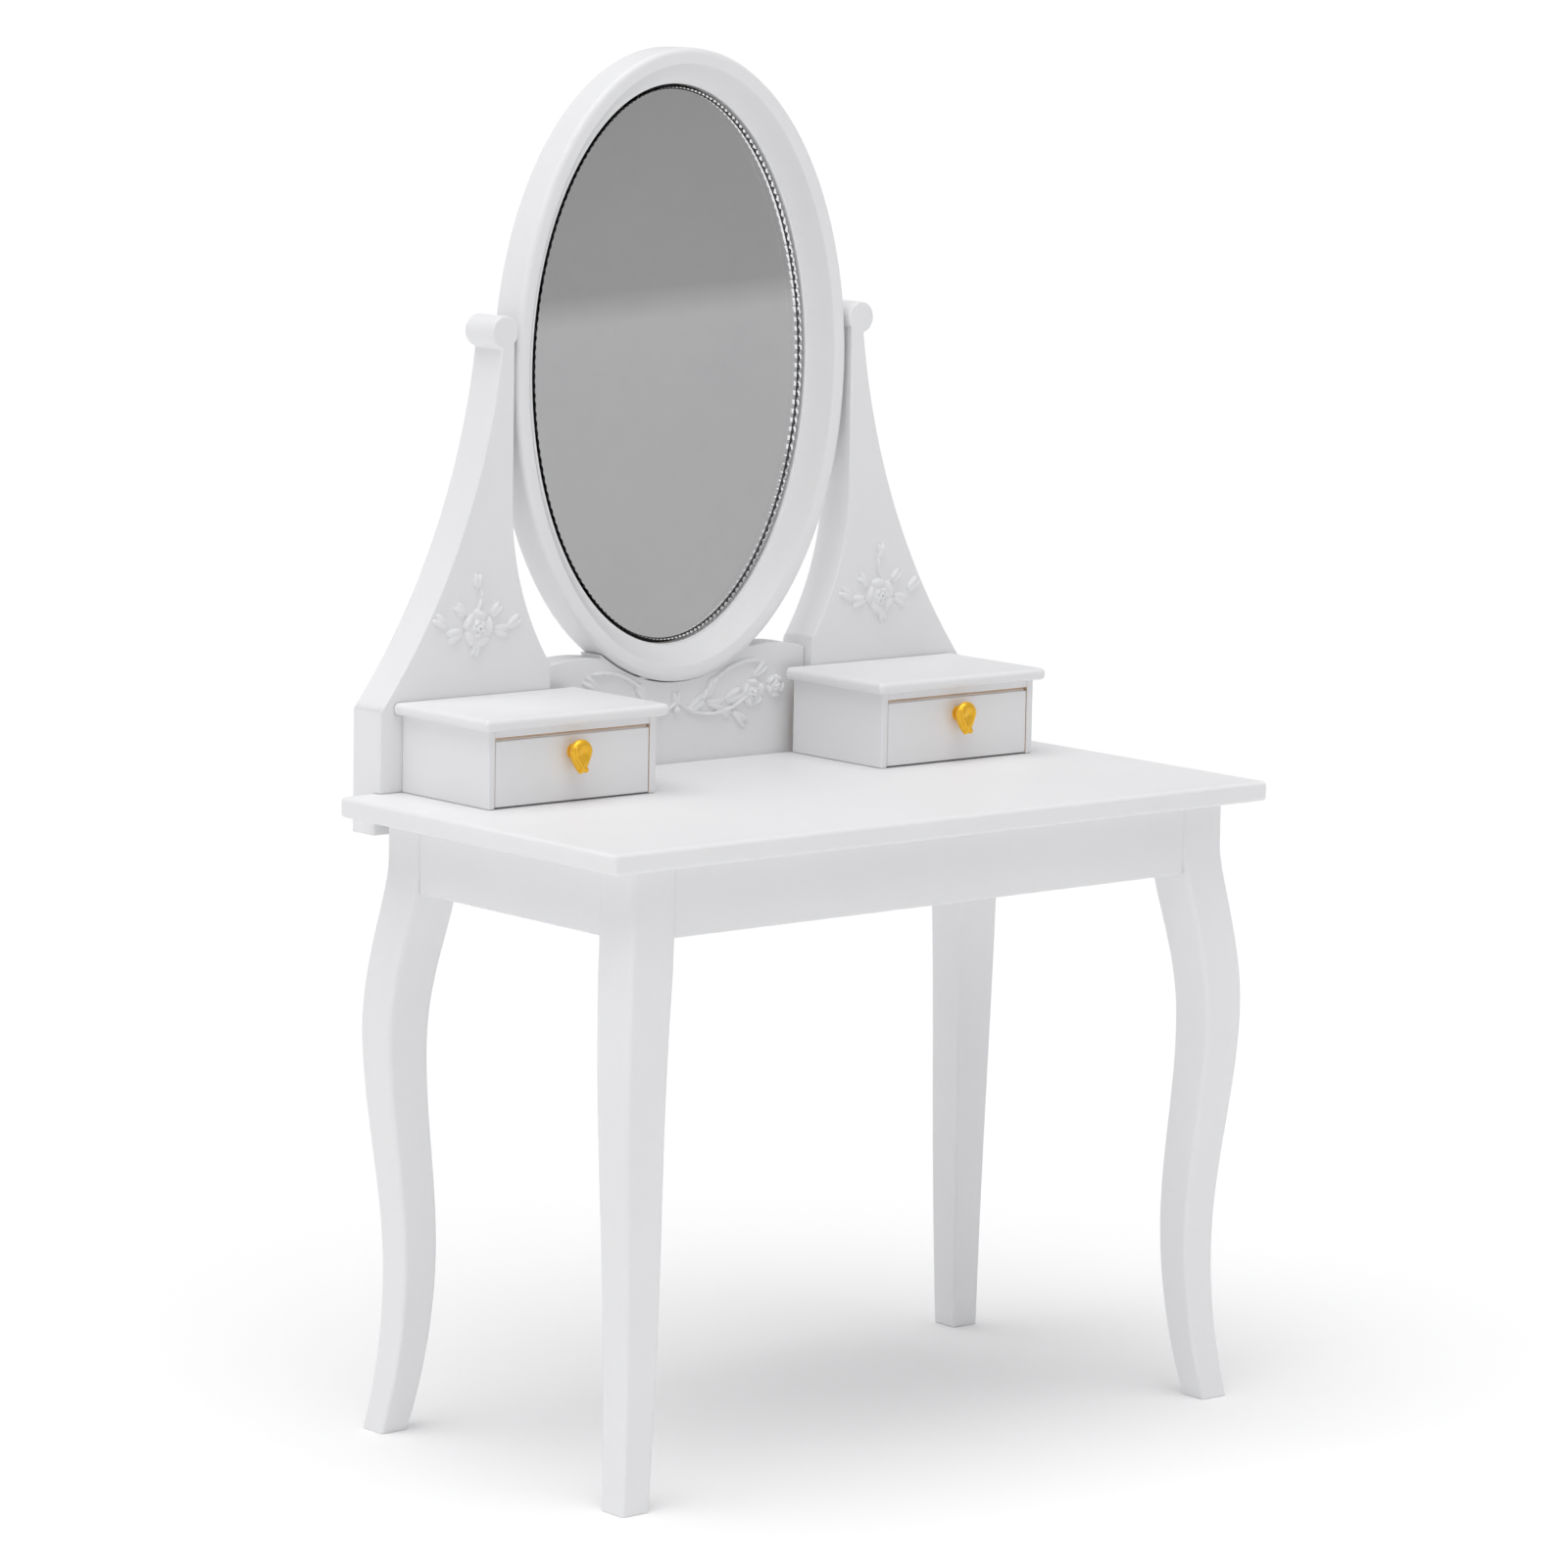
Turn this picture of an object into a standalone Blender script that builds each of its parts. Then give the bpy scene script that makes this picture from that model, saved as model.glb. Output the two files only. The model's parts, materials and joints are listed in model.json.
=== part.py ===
"""Miniature dressing table at 1:12, modelled as the separate pieces that it is made from.

The origin is on the floor, under the middle of the bounding box. +X is to the right of someone
who faces the mirror, +Y is to the back and +Z is up. Every length is in metres.
"""

import math

import bmesh
import bpy
from mathutils import Matrix, Vector

MM = 0.001

# Clearances
GLUE_GAP = 0.1 * MM  # between two pieces that are glued to each other
SLIDE_GAP = 0.2 * MM  # beside and below a drawer
PIVOT_GAP = 0.3 * MM  # between the mirror frame and what it swings past

# Table top
TOP_WIDTH = 83.0 * MM
TOP_DEPTH = 42.5 * MM
TOP_THICKNESS = 2.0 * MM
TOP_EDGE_ROUND = 0.35 * MM
TABLE_HEIGHT = 62.5 * MM

# Legs: a straight block under the top, then an S that sweeps out along the diagonal
LEG_TOP_SIZE = 5.2 * MM
LEG_FOOT_SIZE = 3.2 * MM
LEG_SIDE_INSET = 4.0 * MM
LEG_FRONT_INSET = 2.2 * MM
LEG_ARRIS = 0.4 * MM
LEG_BLOCK = 4.5 * MM
LEG_STRAIGHT = 12.0 * MM
KNEE_HEIGHT = 39.0 * MM
KNEE_SWEEP = 1.95 * MM
ANKLE_HEIGHT = 17.0 * MM
ANKLE_SWEEP = 0.8 * MM
FOOT_SWEEP = 2.4 * MM
LEG_LEVELS = 26

# Aprons
APRON_HEIGHT = 6.8 * MM
APRON_THICKNESS = 2.0 * MM
APRON_SETBACK = 0.2 * MM

# Wings: the two boards that carry the mirror. Their tails hang behind the top's back edge.
WING_THICKNESS = 4.5 * MM
TAIL_THICKNESS = 3.5 * MM
TAIL_DROP = 4.2 * MM
WING_INSET = 4.0 * MM
WING_SHOULDER = 7.9 * MM
WING_FLARE_RADIUS = 70.0 * MM
NECK_WIDTH = 1.6 * MM
NECK_CLEARANCE = 0.5 * MM
INNER_CURVE_TOP = 27.0 * MM
HEAD_RADIUS = 1.6 * MM

# Centre panel, with the curved cradle under the mirror frame
PANEL_WIDTH = 33.6 * MM
PANEL_HEIGHT = 11.1 * MM
PANEL_ARCH = 0.4 * MM
CRADLE_REACH = 9.6 * MM
CRADLE_GAP = 0.3 * MM
CRADLE_STEPS = 16

# Mirror
MIRROR_WIDTH = 42.2 * MM
MIRROR_HEIGHT = 63.2 * MM
MIRROR_BASE = 8.3 * MM  # lowest point of the frame above the table top
FRAME_WIDTH = 3.6 * MM
FRAME_DEPTH = 4.0 * MM
FRAME_BEAD = 1.5 * MM
FRAME_ROUND = 0.6 * MM
FRAME_QUIRK_DEPTH = 0.45 * MM  # the step between the bead and the sloping inner face
FRAME_QUIRK_WIDTH = 0.35 * MM
LIP_WIDTH = 0.3 * MM
LIP_DEPTH = 2.3 * MM
PLATE_THICKNESS = 0.9 * MM
PLATE_GAP = 0.35 * MM  # the open joint round the mirror plate
BACKING_THICKNESS = 0.6 * MM
PIVOT_RISE = 4.2 * MM
PIN_RADIUS = 0.45 * MM
PIN_CLEARANCE = 0.1 * MM
PIN_IN_FRAME = 1.1 * MM
PIN_IN_HEAD = 2.0 * MM
ELLIPSE_STEPS = 96

# Drawer cases
CASE_WIDTH = 20.4 * MM
CASE_DEPTH = 13.7 * MM
CASE_HEIGHT = 7.5 * MM
CASE_INSET = 6.6 * MM
CASE_WALL = 0.8 * MM
CASE_CEILING = 0.7 * MM
LID_THICKNESS = 1.1 * MM
LID_OVERHANG = 1.0 * MM
LID_ROUND = 0.45 * LID_THICKNESS

# Drawers
DRAWER_TOP_GAP = 0.4 * MM
DRAWER_BACK_GAP = 0.5 * MM
DRAWER_FRONT = 1.0 * MM
TRAY_WALL = 0.7 * MM
TRAY_BOTTOM = 0.6 * MM
TRAY_HEIGHT = 4.8 * MM

# Knobs
KNOB_WIDTH = 2.6 * MM
KNOB_RISE = 1.3 * MM
KNOB_DROP = 2.1 * MM
KNOB_DEPTH = 1.5 * MM
KNOB_TAPER = 0.35  # how much narrower its lower tip is, as a share of its width
KNOB_STANDOFF = 0.5 * MM
KNOB_HEIGHT = 4.9 * MM  # its stem above the table top
STEM_RADIUS = 0.4 * MM

# Carved sprays
SPRAY_PROUD = 0.6 * MM
WING_SPRAY = (26.2 * MM, 14.9 * MM)  # its rose, from the middle and above the table top
WING_ROSE_RADIUS = 1.7 * MM
PANEL_SPRAY_HEIGHT = 4.55 * MM  # its rose, above the table top
PANEL_ROSE_RADIUS = 1.8 * MM
ROSE_PETALS = 5
BOSS_SHARE = 0.55  # the boss, and below it the petals, as shares of the rose's radius
PETAL_REACH = 0.62
PETAL_LONG = 0.55
PETAL_SHORT = 0.42
BOSS_PROUD = 1.3 * SPRAY_PROUD

# Places that follow from the sizes
FRONT_Y = -(TOP_DEPTH + TAIL_THICKNESS) / 2
TOP_BACK_Y = FRONT_Y + TOP_DEPTH
BACK_Y = TOP_BACK_Y + TAIL_THICKNESS
WING_FRONT_Y = BACK_Y - WING_THICKNESS
TOP_MIDDLE_Y = (FRONT_Y + TOP_BACK_Y) / 2
UNDERSIDE_Z = TABLE_HEIGHT - TOP_THICKNESS
DECK_Z = TABLE_HEIGHT + GLUE_GAP
TAIL_Z = TABLE_HEIGHT - TAIL_DROP
MIRROR_Z = TABLE_HEIGHT + MIRROR_BASE + MIRROR_HEIGHT / 2
PIVOT_Z = MIRROR_Z + PIVOT_RISE
FRAME_Y = (WING_FRONT_Y + BACK_Y) / 2
FRAME_FRONT_Y = FRAME_Y - FRAME_DEPTH / 2
FRAME_REACH = MIRROR_WIDTH / 2 * math.sqrt(1 - (PIVOT_RISE / (MIRROR_HEIGHT / 2)) ** 2)
HEAD_X = FRAME_REACH + PIVOT_GAP + HEAD_RADIUS
NECK_X = MIRROR_WIDTH / 2 + NECK_CLEARANCE
CASE_X = TOP_WIDTH / 2 - CASE_INSET - CASE_WIDTH / 2
CASE_BACK_Y = WING_FRONT_Y - GLUE_GAP
CASE_FRONT_Y = CASE_BACK_Y - CASE_DEPTH
CASE_TOP_Z = DECK_Z + CASE_HEIGHT
OPENING_TOP_Z = CASE_TOP_Z - CASE_CEILING
SIDES = {"left": -1, "right": 1}

parts = None
cutters = None
finishes = {}


# ---------------------------------------------------------------- scene and materials


def clear_scene():
    """Empty the scene, and make one collection for the parts and one for the cutters."""
    global parts, cutters
    for item in list(bpy.data.objects):
        bpy.data.objects.remove(item, do_unlink=True)
    parts = bpy.data.collections.new("miniature_dressing_table")
    cutters = bpy.data.collections.new("cutters")
    for group in (parts, cutters):
        bpy.context.scene.collection.children.link(group)


def finish(name, color, roughness, metallic=0.0):
    """Give back the Principled material of this name, made on its first use."""
    if name not in finishes:
        material = bpy.data.materials.new(name)
        material.use_nodes = True
        shader = material.node_tree.nodes["Principled BSDF"]
        shader.inputs["Base Color"].default_value = (*color, 1.0)
        shader.inputs["Roughness"].default_value = roughness
        shader.inputs["Metallic"].default_value = metallic
        finishes[name] = material
    return finishes[name]


def white_paint():
    return finish("white_paint", (0.83, 0.83, 0.84), 0.45)


def bare_wood():
    return finish("bare_wood", (0.62, 0.45, 0.30), 0.7)


def mirror_silver():
    return finish("mirror_silver", (0.80, 0.81, 0.82), 0.05, 1.0)


def gilt_metal():
    return finish("gilt_metal", (0.93, 0.62, 0.16), 0.3, 1.0)


def pin_steel():
    return finish("pin_steel", (0.60, 0.60, 0.62), 0.35, 1.0)


# ---------------------------------------------------------------- shapes


def add_part(name, mesh, material, location=(0, 0, 0)):
    """Put a mesh in the parts collection, as one named object with its material."""
    mesh.materials.clear()
    mesh.materials.append(material)
    item = bpy.data.objects.new(name, mesh)
    item.location = location
    parts.objects.link(item)
    return item


def add_cutter(name, mesh, location=(0, 0, 0)):
    """Put a mesh in the cutters collection, hidden from renders."""
    item = bpy.data.objects.new(name, mesh)
    item.location = location
    item.hide_render = True
    item.display_type = "WIRE"
    cutters.objects.link(item)
    return item


def cut(item, cutter, operation="DIFFERENCE"):
    """Cut, or join, an object with a cutter by an exact Boolean."""
    boolean = item.modifiers.new(f"{operation.lower()}_{cutter.name}", "BOOLEAN")
    boolean.operation = operation
    boolean.object = cutter
    boolean.solver = "EXACT"


def round_edges(item, width, segments=2, angle=50):
    """Round the sharp edges of an object."""
    bevel = item.modifiers.new("rounded_edges", "BEVEL")
    bevel.width = width
    bevel.segments = segments
    bevel.limit_method = "ANGLE"
    bevel.angle_limit = math.radians(angle)


def box_mesh(name, size):
    """A box of this size, centred on its origin."""
    mesh = bpy.data.meshes.new(name)
    shape = bmesh.new()
    bmesh.ops.create_cube(shape, size=1.0, matrix=Matrix.Diagonal((*size, 1.0)))
    shape.to_mesh(mesh)
    shape.free()
    return mesh


def board(name, low, high, material, edge=0.0):
    """A flat board between two corners, with its edges rounded if edge is given."""
    low, high = Vector(low), Vector(high)
    item = add_part(name, box_mesh(name, high - low), material, (low + high) / 2)
    if edge:
        round_edges(item, edge)
    return item


def rod_mesh(name, radius, length, sides=20):
    """A cylinder along X, centred on its origin."""
    mesh = bpy.data.meshes.new(name)
    shape = bmesh.new()
    turn = Matrix.Rotation(math.pi / 2, 4, "Y")
    bmesh.ops.create_cone(
        shape, cap_ends=True, segments=sides, radius1=radius, radius2=radius, depth=length, matrix=turn
    )
    shape.to_mesh(mesh)
    shape.free()
    return mesh


def lobe_mesh(name, radii, turns=12, rings=8):
    """An ellipsoid with the three given radii."""
    mesh = bpy.data.meshes.new(name)
    shape = bmesh.new()
    stretch = Matrix.Diagonal((*radii, 1.0))
    bmesh.ops.create_uvsphere(shape, u_segments=turns, v_segments=rings, radius=1.0, matrix=stretch)
    shape.to_mesh(mesh)
    shape.free()
    return mesh


def curve_from_points(name, points):
    """A closed flat curve through points that are given as pairs."""
    curve = bpy.data.curves.new(name, "CURVE")
    spline = curve.splines.new("POLY")
    spline.points.add(len(points) - 1)
    for place, (x, y) in zip(spline.points, points):
        place.co = (x, y, 0.0, 1.0)
    spline.use_cyclic_u = True
    return curve


def mesh_from_curve(name, curve, matrix):
    """Turn a curve into a welded mesh, placed by the matrix."""
    guide = bpy.data.objects.new(f"{name}_guide", curve)
    bpy.context.scene.collection.objects.link(guide)
    bpy.context.view_layer.update()
    graph = bpy.context.evaluated_depsgraph_get()
    mesh = bpy.data.meshes.new_from_object(guide.evaluated_get(graph))
    mesh.name = name
    bpy.data.objects.remove(guide, do_unlink=True)
    shape = bmesh.new()
    shape.from_mesh(mesh)
    bmesh.ops.remove_doubles(shape, verts=shape.verts, dist=0.001 * MM)
    bmesh.ops.transform(shape, matrix=matrix, verts=shape.verts)
    bmesh.ops.recalc_face_normals(shape, faces=shape.faces)
    shape.to_mesh(mesh)
    shape.free()
    return mesh


def upright(x=0.0, y=0.0, z=0.0):
    """The matrix that stands a flat outline up, its second axis along +Z, at a place."""
    return Matrix.Translation((x, y, z)) @ Matrix.Rotation(math.pi / 2, 4, "X")


def plate_mesh(name, points, thickness, y):
    """An upright plate with this outline in X and Z, centred on y."""
    curve = curve_from_points(name, points)
    curve.dimensions = "2D"
    curve.fill_mode = "BOTH"
    curve.extrude = thickness / 2
    return mesh_from_curve(name, curve, upright(y=y))


def shade_round(item, angle=35):
    """Shade the round faces of an object smooth, and keep its edges."""
    item.data.shade_smooth()
    item.data.set_sharp_from_angle(angle=math.radians(angle))


# ---------------------------------------------------------------- outlines


def arc(centre, radius, start, end, steps):
    """Points on an arc about a centre, between two angles in degrees."""
    points = []
    for step in range(steps + 1):
        angle = math.radians(start + (end - start) * step / steps)
        points.append((centre[0] + radius * math.cos(angle), centre[1] + radius * math.sin(angle)))
    return points


def arc_between(start, end, radius, steps, hand=1):
    """Points on the arc of a given radius that joins two points.

    Its centre is on the right of the way from start to end, or on the left if hand is -1.
    """
    start, end = Vector(start), Vector(end)
    chord = end - start
    height = math.sqrt(radius**2 - (chord.length / 2) ** 2)
    centre = (start + end) / 2 + Vector((chord.y, -chord.x)).normalized() * height * hand
    first = math.degrees(math.atan2(start.y - centre.y, start.x - centre.x))
    last = math.degrees(math.atan2(end.y - centre.y, end.x - centre.x))
    return arc(centre, radius, first, last, steps)


def ellipse(width, height, steps):
    """Points on an ellipse of this width and height, from its middle."""
    turns = [math.tau * step / steps for step in range(steps)]
    return [(width / 2 * math.cos(t), height / 2 * math.sin(t)) for t in turns]


# ---------------------------------------------------------------- table


def build_top():
    """The table top, a plain board with its edges eased."""
    low = (-TOP_WIDTH / 2, FRONT_Y, UNDERSIDE_Z)
    high = (TOP_WIDTH / 2, TOP_BACK_Y, TABLE_HEIGHT)
    board("table_top", low, high, white_paint(), TOP_EDGE_ROUND)


def leg_sweep(z):
    """How far a leg's middle stands out along each axis at height z."""
    start = UNDERSIDE_Z - LEG_BLOCK
    if z >= start:
        return 0.0
    if z >= KNEE_HEIGHT:
        part = (start - z) / (start - KNEE_HEIGHT)
        return KNEE_SWEEP * math.sin(part * math.pi / 2) ** 1.4
    if z >= ANKLE_HEIGHT:
        part = (KNEE_HEIGHT - z) / (KNEE_HEIGHT - ANKLE_HEIGHT)
        return KNEE_SWEEP + (ANKLE_SWEEP - KNEE_SWEEP) * part * part * (3 - 2 * part)
    part = (ANKLE_HEIGHT - z) / ANKLE_HEIGHT
    return ANKLE_SWEEP + (FOOT_SWEEP - ANKLE_SWEEP) * part * part


def leg_scale(z):
    """A leg's width at height z, as a share of its width at the top."""
    taper_start = TABLE_HEIGHT - LEG_STRAIGHT
    part = min(1.0, max(0.0, (taper_start - z) / taper_start))
    return 1.0 + (LEG_FOOT_SIZE / LEG_TOP_SIZE - 1.0) * part


def build_leg(name, side, end):
    """One leg. side is -1 for left and 1 for right, and end is -1 for front and 1 for back."""
    length = UNDERSIDE_Z - GLUE_GAP
    size = Vector((LEG_TOP_SIZE, LEG_TOP_SIZE, length))
    shape = bmesh.new()
    bmesh.ops.create_cube(shape, size=1.0, matrix=Matrix.Diagonal((*size, 1.0)))
    corners = [e for e in shape.edges if abs(e.verts[0].co.z - e.verts[1].co.z) > length / 2]
    bmesh.ops.bevel(shape, geom=corners, offset=LEG_ARRIS, segments=2, profile=0.5, affect="EDGES")
    for level in range(1, LEG_LEVELS):
        height = length * (level / LEG_LEVELS - 0.5)
        everything = shape.verts[:] + shape.edges[:] + shape.faces[:]
        bmesh.ops.bisect_plane(shape, geom=everything, plane_co=(0, 0, height), plane_no=(0, 0, 1))
    for vert in shape.verts:
        z = vert.co.z + length / 2
        sweep, scale = leg_sweep(z), leg_scale(z)
        vert.co = (vert.co.x * scale + side * sweep, vert.co.y * scale + end * sweep, z)
    mesh = bpy.data.meshes.new(name)
    shape.to_mesh(mesh)
    shape.free()
    x = side * (TOP_WIDTH / 2 - LEG_SIDE_INSET - LEG_TOP_SIZE / 2)
    y = TOP_MIDDLE_Y + end * (TOP_DEPTH / 2 - LEG_FRONT_INSET - LEG_TOP_SIZE / 2)
    shade_round(add_part(name, mesh, white_paint(), (x, y, 0.0)))


def build_legs():
    """The four legs."""
    for side_name, side in SIDES.items():
        build_leg(f"leg_front_{side_name}", side, -1)
        build_leg(f"leg_back_{side_name}", side, 1)


def build_aprons():
    """The four aprons that join the legs under the top."""
    high_z = UNDERSIDE_Z - GLUE_GAP
    low_z = UNDERSIDE_Z - APRON_HEIGHT
    leg_end = LEG_SIDE_INSET + LEG_TOP_SIZE + GLUE_GAP
    half_length = TOP_WIDTH / 2 - leg_end
    outer = TOP_DEPTH / 2 - LEG_FRONT_INSET - APRON_SETBACK
    for end_name, end in {"front": -1, "back": 1}.items():
        near, far = sorted((end * outer, end * (outer - APRON_THICKNESS)))
        low = (-half_length, TOP_MIDDLE_Y + near, low_z)
        high = (half_length, TOP_MIDDLE_Y + far, high_z)
        board(f"apron_{end_name}", low, high, white_paint())
    leg_end = LEG_FRONT_INSET + LEG_TOP_SIZE + GLUE_GAP
    half_length = TOP_DEPTH / 2 - leg_end
    outer = TOP_WIDTH / 2 - LEG_SIDE_INSET - APRON_SETBACK
    for side_name, side in SIDES.items():
        near, far = sorted((side * outer, side * (outer - APRON_THICKNESS)))
        low = (near, TOP_MIDDLE_Y - half_length, low_z)
        high = (far, TOP_MIDDLE_Y + half_length, high_z)
        board(f"apron_{side_name}", low, high, white_paint())


# ---------------------------------------------------------------- wings and centre panel


def wing_outline(side):
    """The wing's outline: foot, flared outer edge, round head, neck and inner curve."""
    foot_x = TOP_WIDTH / 2 - WING_INSET
    panel_x = PANEL_WIDTH / 2 + GLUE_GAP
    neck_outer = NECK_X + NECK_WIDTH
    outer_join = PIVOT_Z - math.sqrt(HEAD_RADIUS**2 - (neck_outer - HEAD_X) ** 2)
    inner_join = PIVOT_Z - math.sqrt(HEAD_RADIUS**2 - (HEAD_X - NECK_X) ** 2)
    shoulder = (foot_x, TABLE_HEIGHT + WING_SHOULDER)
    points = [(panel_x, TAIL_Z), (foot_x, TAIL_Z)]
    points += arc_between(shoulder, (neck_outer, outer_join), WING_FLARE_RADIUS, 16)
    start = math.degrees(math.atan2(outer_join - PIVOT_Z, neck_outer - HEAD_X))
    end = math.degrees(math.atan2(inner_join - PIVOT_Z, NECK_X - HEAD_X)) + 360
    points += arc((HEAD_X, PIVOT_Z), HEAD_RADIUS, start, end, 20)[1:]
    curve_top = TABLE_HEIGHT + INNER_CURVE_TOP
    curve_low = TABLE_HEIGHT + PANEL_HEIGHT
    rise, run = curve_top - curve_low, NECK_X - panel_x
    radius = (rise**2 + run**2) / (2 * run)
    last = -math.degrees(math.asin(rise / radius))
    points += arc((NECK_X - radius, curve_top), radius, 0.0, last, 12)
    return [(side * x, z) for x, z in points]


def build_wing(side_name, side):
    """One wing: rebated over the top's back edge, with a blind hole in its head for the pin."""
    name = f"wing_{side_name}"
    mesh = plate_mesh(name, wing_outline(side), WING_THICKNESS, (WING_FRONT_Y + BACK_Y) / 2)
    wing = add_part(name, mesh, white_paint())
    reach = 2 * WING_THICKNESS
    size = (TOP_WIDTH, reach, 2 * TAIL_DROP)
    place = (0.0, TOP_BACK_Y + GLUE_GAP - reach / 2, DECK_Z - TAIL_DROP)
    cut(wing, add_cutter(f"{name}_rebate", box_mesh("rebate", size), place))
    cut(wing, pin_hole(f"{name}_hole", side, HEAD_X - HEAD_RADIUS, PIN_IN_HEAD))
    shade_round(wing)


def pin_hole(name, side, face_x, depth):
    """A cutter for a blind pin hole that goes outwards from face_x."""
    start = face_x - PIVOT_GAP
    end = face_x + depth + PIN_CLEARANCE
    mesh = rod_mesh(name, PIN_RADIUS + PIN_CLEARANCE, end - start)
    return add_cutter(name, mesh, (side * (start + end) / 2, FRAME_Y, PIVOT_Z))


def panel_outline():
    """The centre panel: straight foot, arched shoulders, and a cradle that stands up at its ends."""
    half = PANEL_WIDTH / 2
    width = MIRROR_WIDTH + 2 * CRADLE_GAP
    height = MIRROR_HEIGHT + 2 * CRADLE_GAP
    shoulder_z = TABLE_HEIGHT + PANEL_HEIGHT
    right = [(half, TAIL_Z), (half, shoulder_z - PANEL_ARCH)]
    right += arc_between((half, shoulder_z - PANEL_ARCH), (CRADLE_REACH, shoulder_z), half, 5, -1)[1:]
    first = -math.acos(CRADLE_REACH / (width / 2))
    cradle = []
    for step in range(CRADLE_STEPS + 1):
        angle = first + (-math.pi - 2 * first) * step / CRADLE_STEPS
        cradle.append((width / 2 * math.cos(angle), MIRROR_Z + height / 2 * math.sin(angle)))
    left = [(-x, z) for x, z in reversed(right)]
    return right + cradle + left


def build_panel():
    """The centre panel, which stands behind the top between the two wings."""
    thickness = TAIL_THICKNESS - GLUE_GAP
    mesh = plate_mesh("centre_panel", panel_outline(), thickness, BACK_Y - thickness / 2)
    add_part("centre_panel", mesh, white_paint())


# ---------------------------------------------------------------- carved sprays


def build_spray(name, face_y, lobes):
    """A carved spray: flattened lobes joined in one body, cut flat where it meets its board.

    Each lobe is its place in X and Z, its two radii, its turn in degrees and its height.
    """
    shape = bmesh.new()
    for x, z, long, short, turn, proud in lobes:
        place = Matrix.Translation((x, face_y, z)) @ Matrix.Rotation(-math.radians(turn), 4, "Y")
        stretch = Matrix.Diagonal((long, proud, short, 1.0))
        bmesh.ops.create_uvsphere(shape, u_segments=10, v_segments=6, radius=1.0, matrix=place @ stretch)
    mesh = bpy.data.meshes.new(name)
    shape.to_mesh(mesh)
    shape.free()
    body = add_part(name, mesh, white_paint())
    size = (TOP_WIDTH, 4 * SPRAY_PROUD, MIRROR_HEIGHT)
    place = (0.0, face_y - GLUE_GAP - 2 * SPRAY_PROUD, TABLE_HEIGHT + MIRROR_HEIGHT / 2)
    cut(body, add_cutter(f"{name}_front", box_mesh("spray_front", size), place), "INTERSECT")
    body.modifiers[-1].use_self = True
    shade_round(body, 60)


def rose(x, z, radius):
    """The lobes of a small rose: a boss and a ring of petals."""
    reach = radius * PETAL_REACH
    lobes = [(x, z, radius * BOSS_SHARE, radius * BOSS_SHARE, 0.0, BOSS_PROUD)]
    for petal in range(ROSE_PETALS):
        turn = 90.0 + 360.0 * petal / ROSE_PETALS
        angle = math.radians(turn)
        place = (x + reach * math.cos(angle), z + reach * math.sin(angle))
        lobes.append((*place, radius * PETAL_LONG, radius * PETAL_SHORT, turn, SPRAY_PROUD))
    return lobes


def build_wing_sprays():
    """The spray on each wing: a rose, leaves to both sides and a sprig above."""
    rose_x, rose_z = WING_SPRAY[0], TABLE_HEIGHT + WING_SPRAY[1]
    leaves = [
        (-2.4, 0.3, 1.4, 0.6, 166.0),
        (-4.4, 1.0, 1.3, 0.5, 155.0),
        (2.4, 0.4, 1.4, 0.6, 14.0),
        (4.2, 1.1, 1.3, 0.5, 28.0),
        (0.2, 2.3, 1.4, 0.6, 88.0),
    ]
    for side_name, side in SIDES.items():
        lobes = rose(side * rose_x, rose_z, WING_ROSE_RADIUS)
        for x, z, long, short, turn in leaves:
            turned = turn if side > 0 else 180.0 - turn
            place = (side * (rose_x + x * MM), rose_z + z * MM)
            lobes.append((*place, long * MM, short * MM, turned, SPRAY_PROUD))
        build_spray(f"spray_{side_name}", WING_FRONT_Y, lobes)


def build_panel_spray():
    """The spray on the centre panel: a rose in the middle and a branch to each side."""
    middle_z = TABLE_HEIGHT + PANEL_SPRAY_HEIGHT
    lobes = rose(0.0, middle_z, PANEL_ROSE_RADIUS)
    branch = [
        (2.7, 0.1, 1.5, 0.7, 8.0),
        (5.0, 0.8, 1.5, 0.7, 24.0),
        (7.0, 2.0, 1.5, 0.9, 38.0),
        (8.3, 3.4, 1.3, 0.7, 50.0),
        (8.5, 1.6, 1.6, 0.8, -16.0),
        (10.8, 0.8, 1.5, 0.7, -22.0),
        (4.6, -0.6, 1.4, 0.6, -40.0),
    ]
    for x, z, long, short, turn in branch:
        for side in SIDES.values():
            turned = turn if side > 0 else 180.0 - turn
            lobes.append((side * x * MM, middle_z + z * MM, long * MM, short * MM, turned, SPRAY_PROUD))
    build_spray("spray_centre", TOP_BACK_Y + GLUE_GAP, lobes)


# ---------------------------------------------------------------- mirror


def frame_profile():
    """The moulding's section: first across, inwards from the outer edge, then back from the front."""
    rounded = arc((FRAME_ROUND, FRAME_ROUND), FRAME_ROUND, 180.0, 270.0, 4)
    return rounded + [
        (FRAME_BEAD, 0.0),
        (FRAME_BEAD + FRAME_QUIRK_WIDTH, FRAME_QUIRK_DEPTH),
        (FRAME_WIDTH - LIP_WIDTH, LIP_DEPTH),
        (FRAME_WIDTH, LIP_DEPTH),
        (FRAME_WIDTH, FRAME_DEPTH),
        (0.0, FRAME_DEPTH),
    ]


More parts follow.
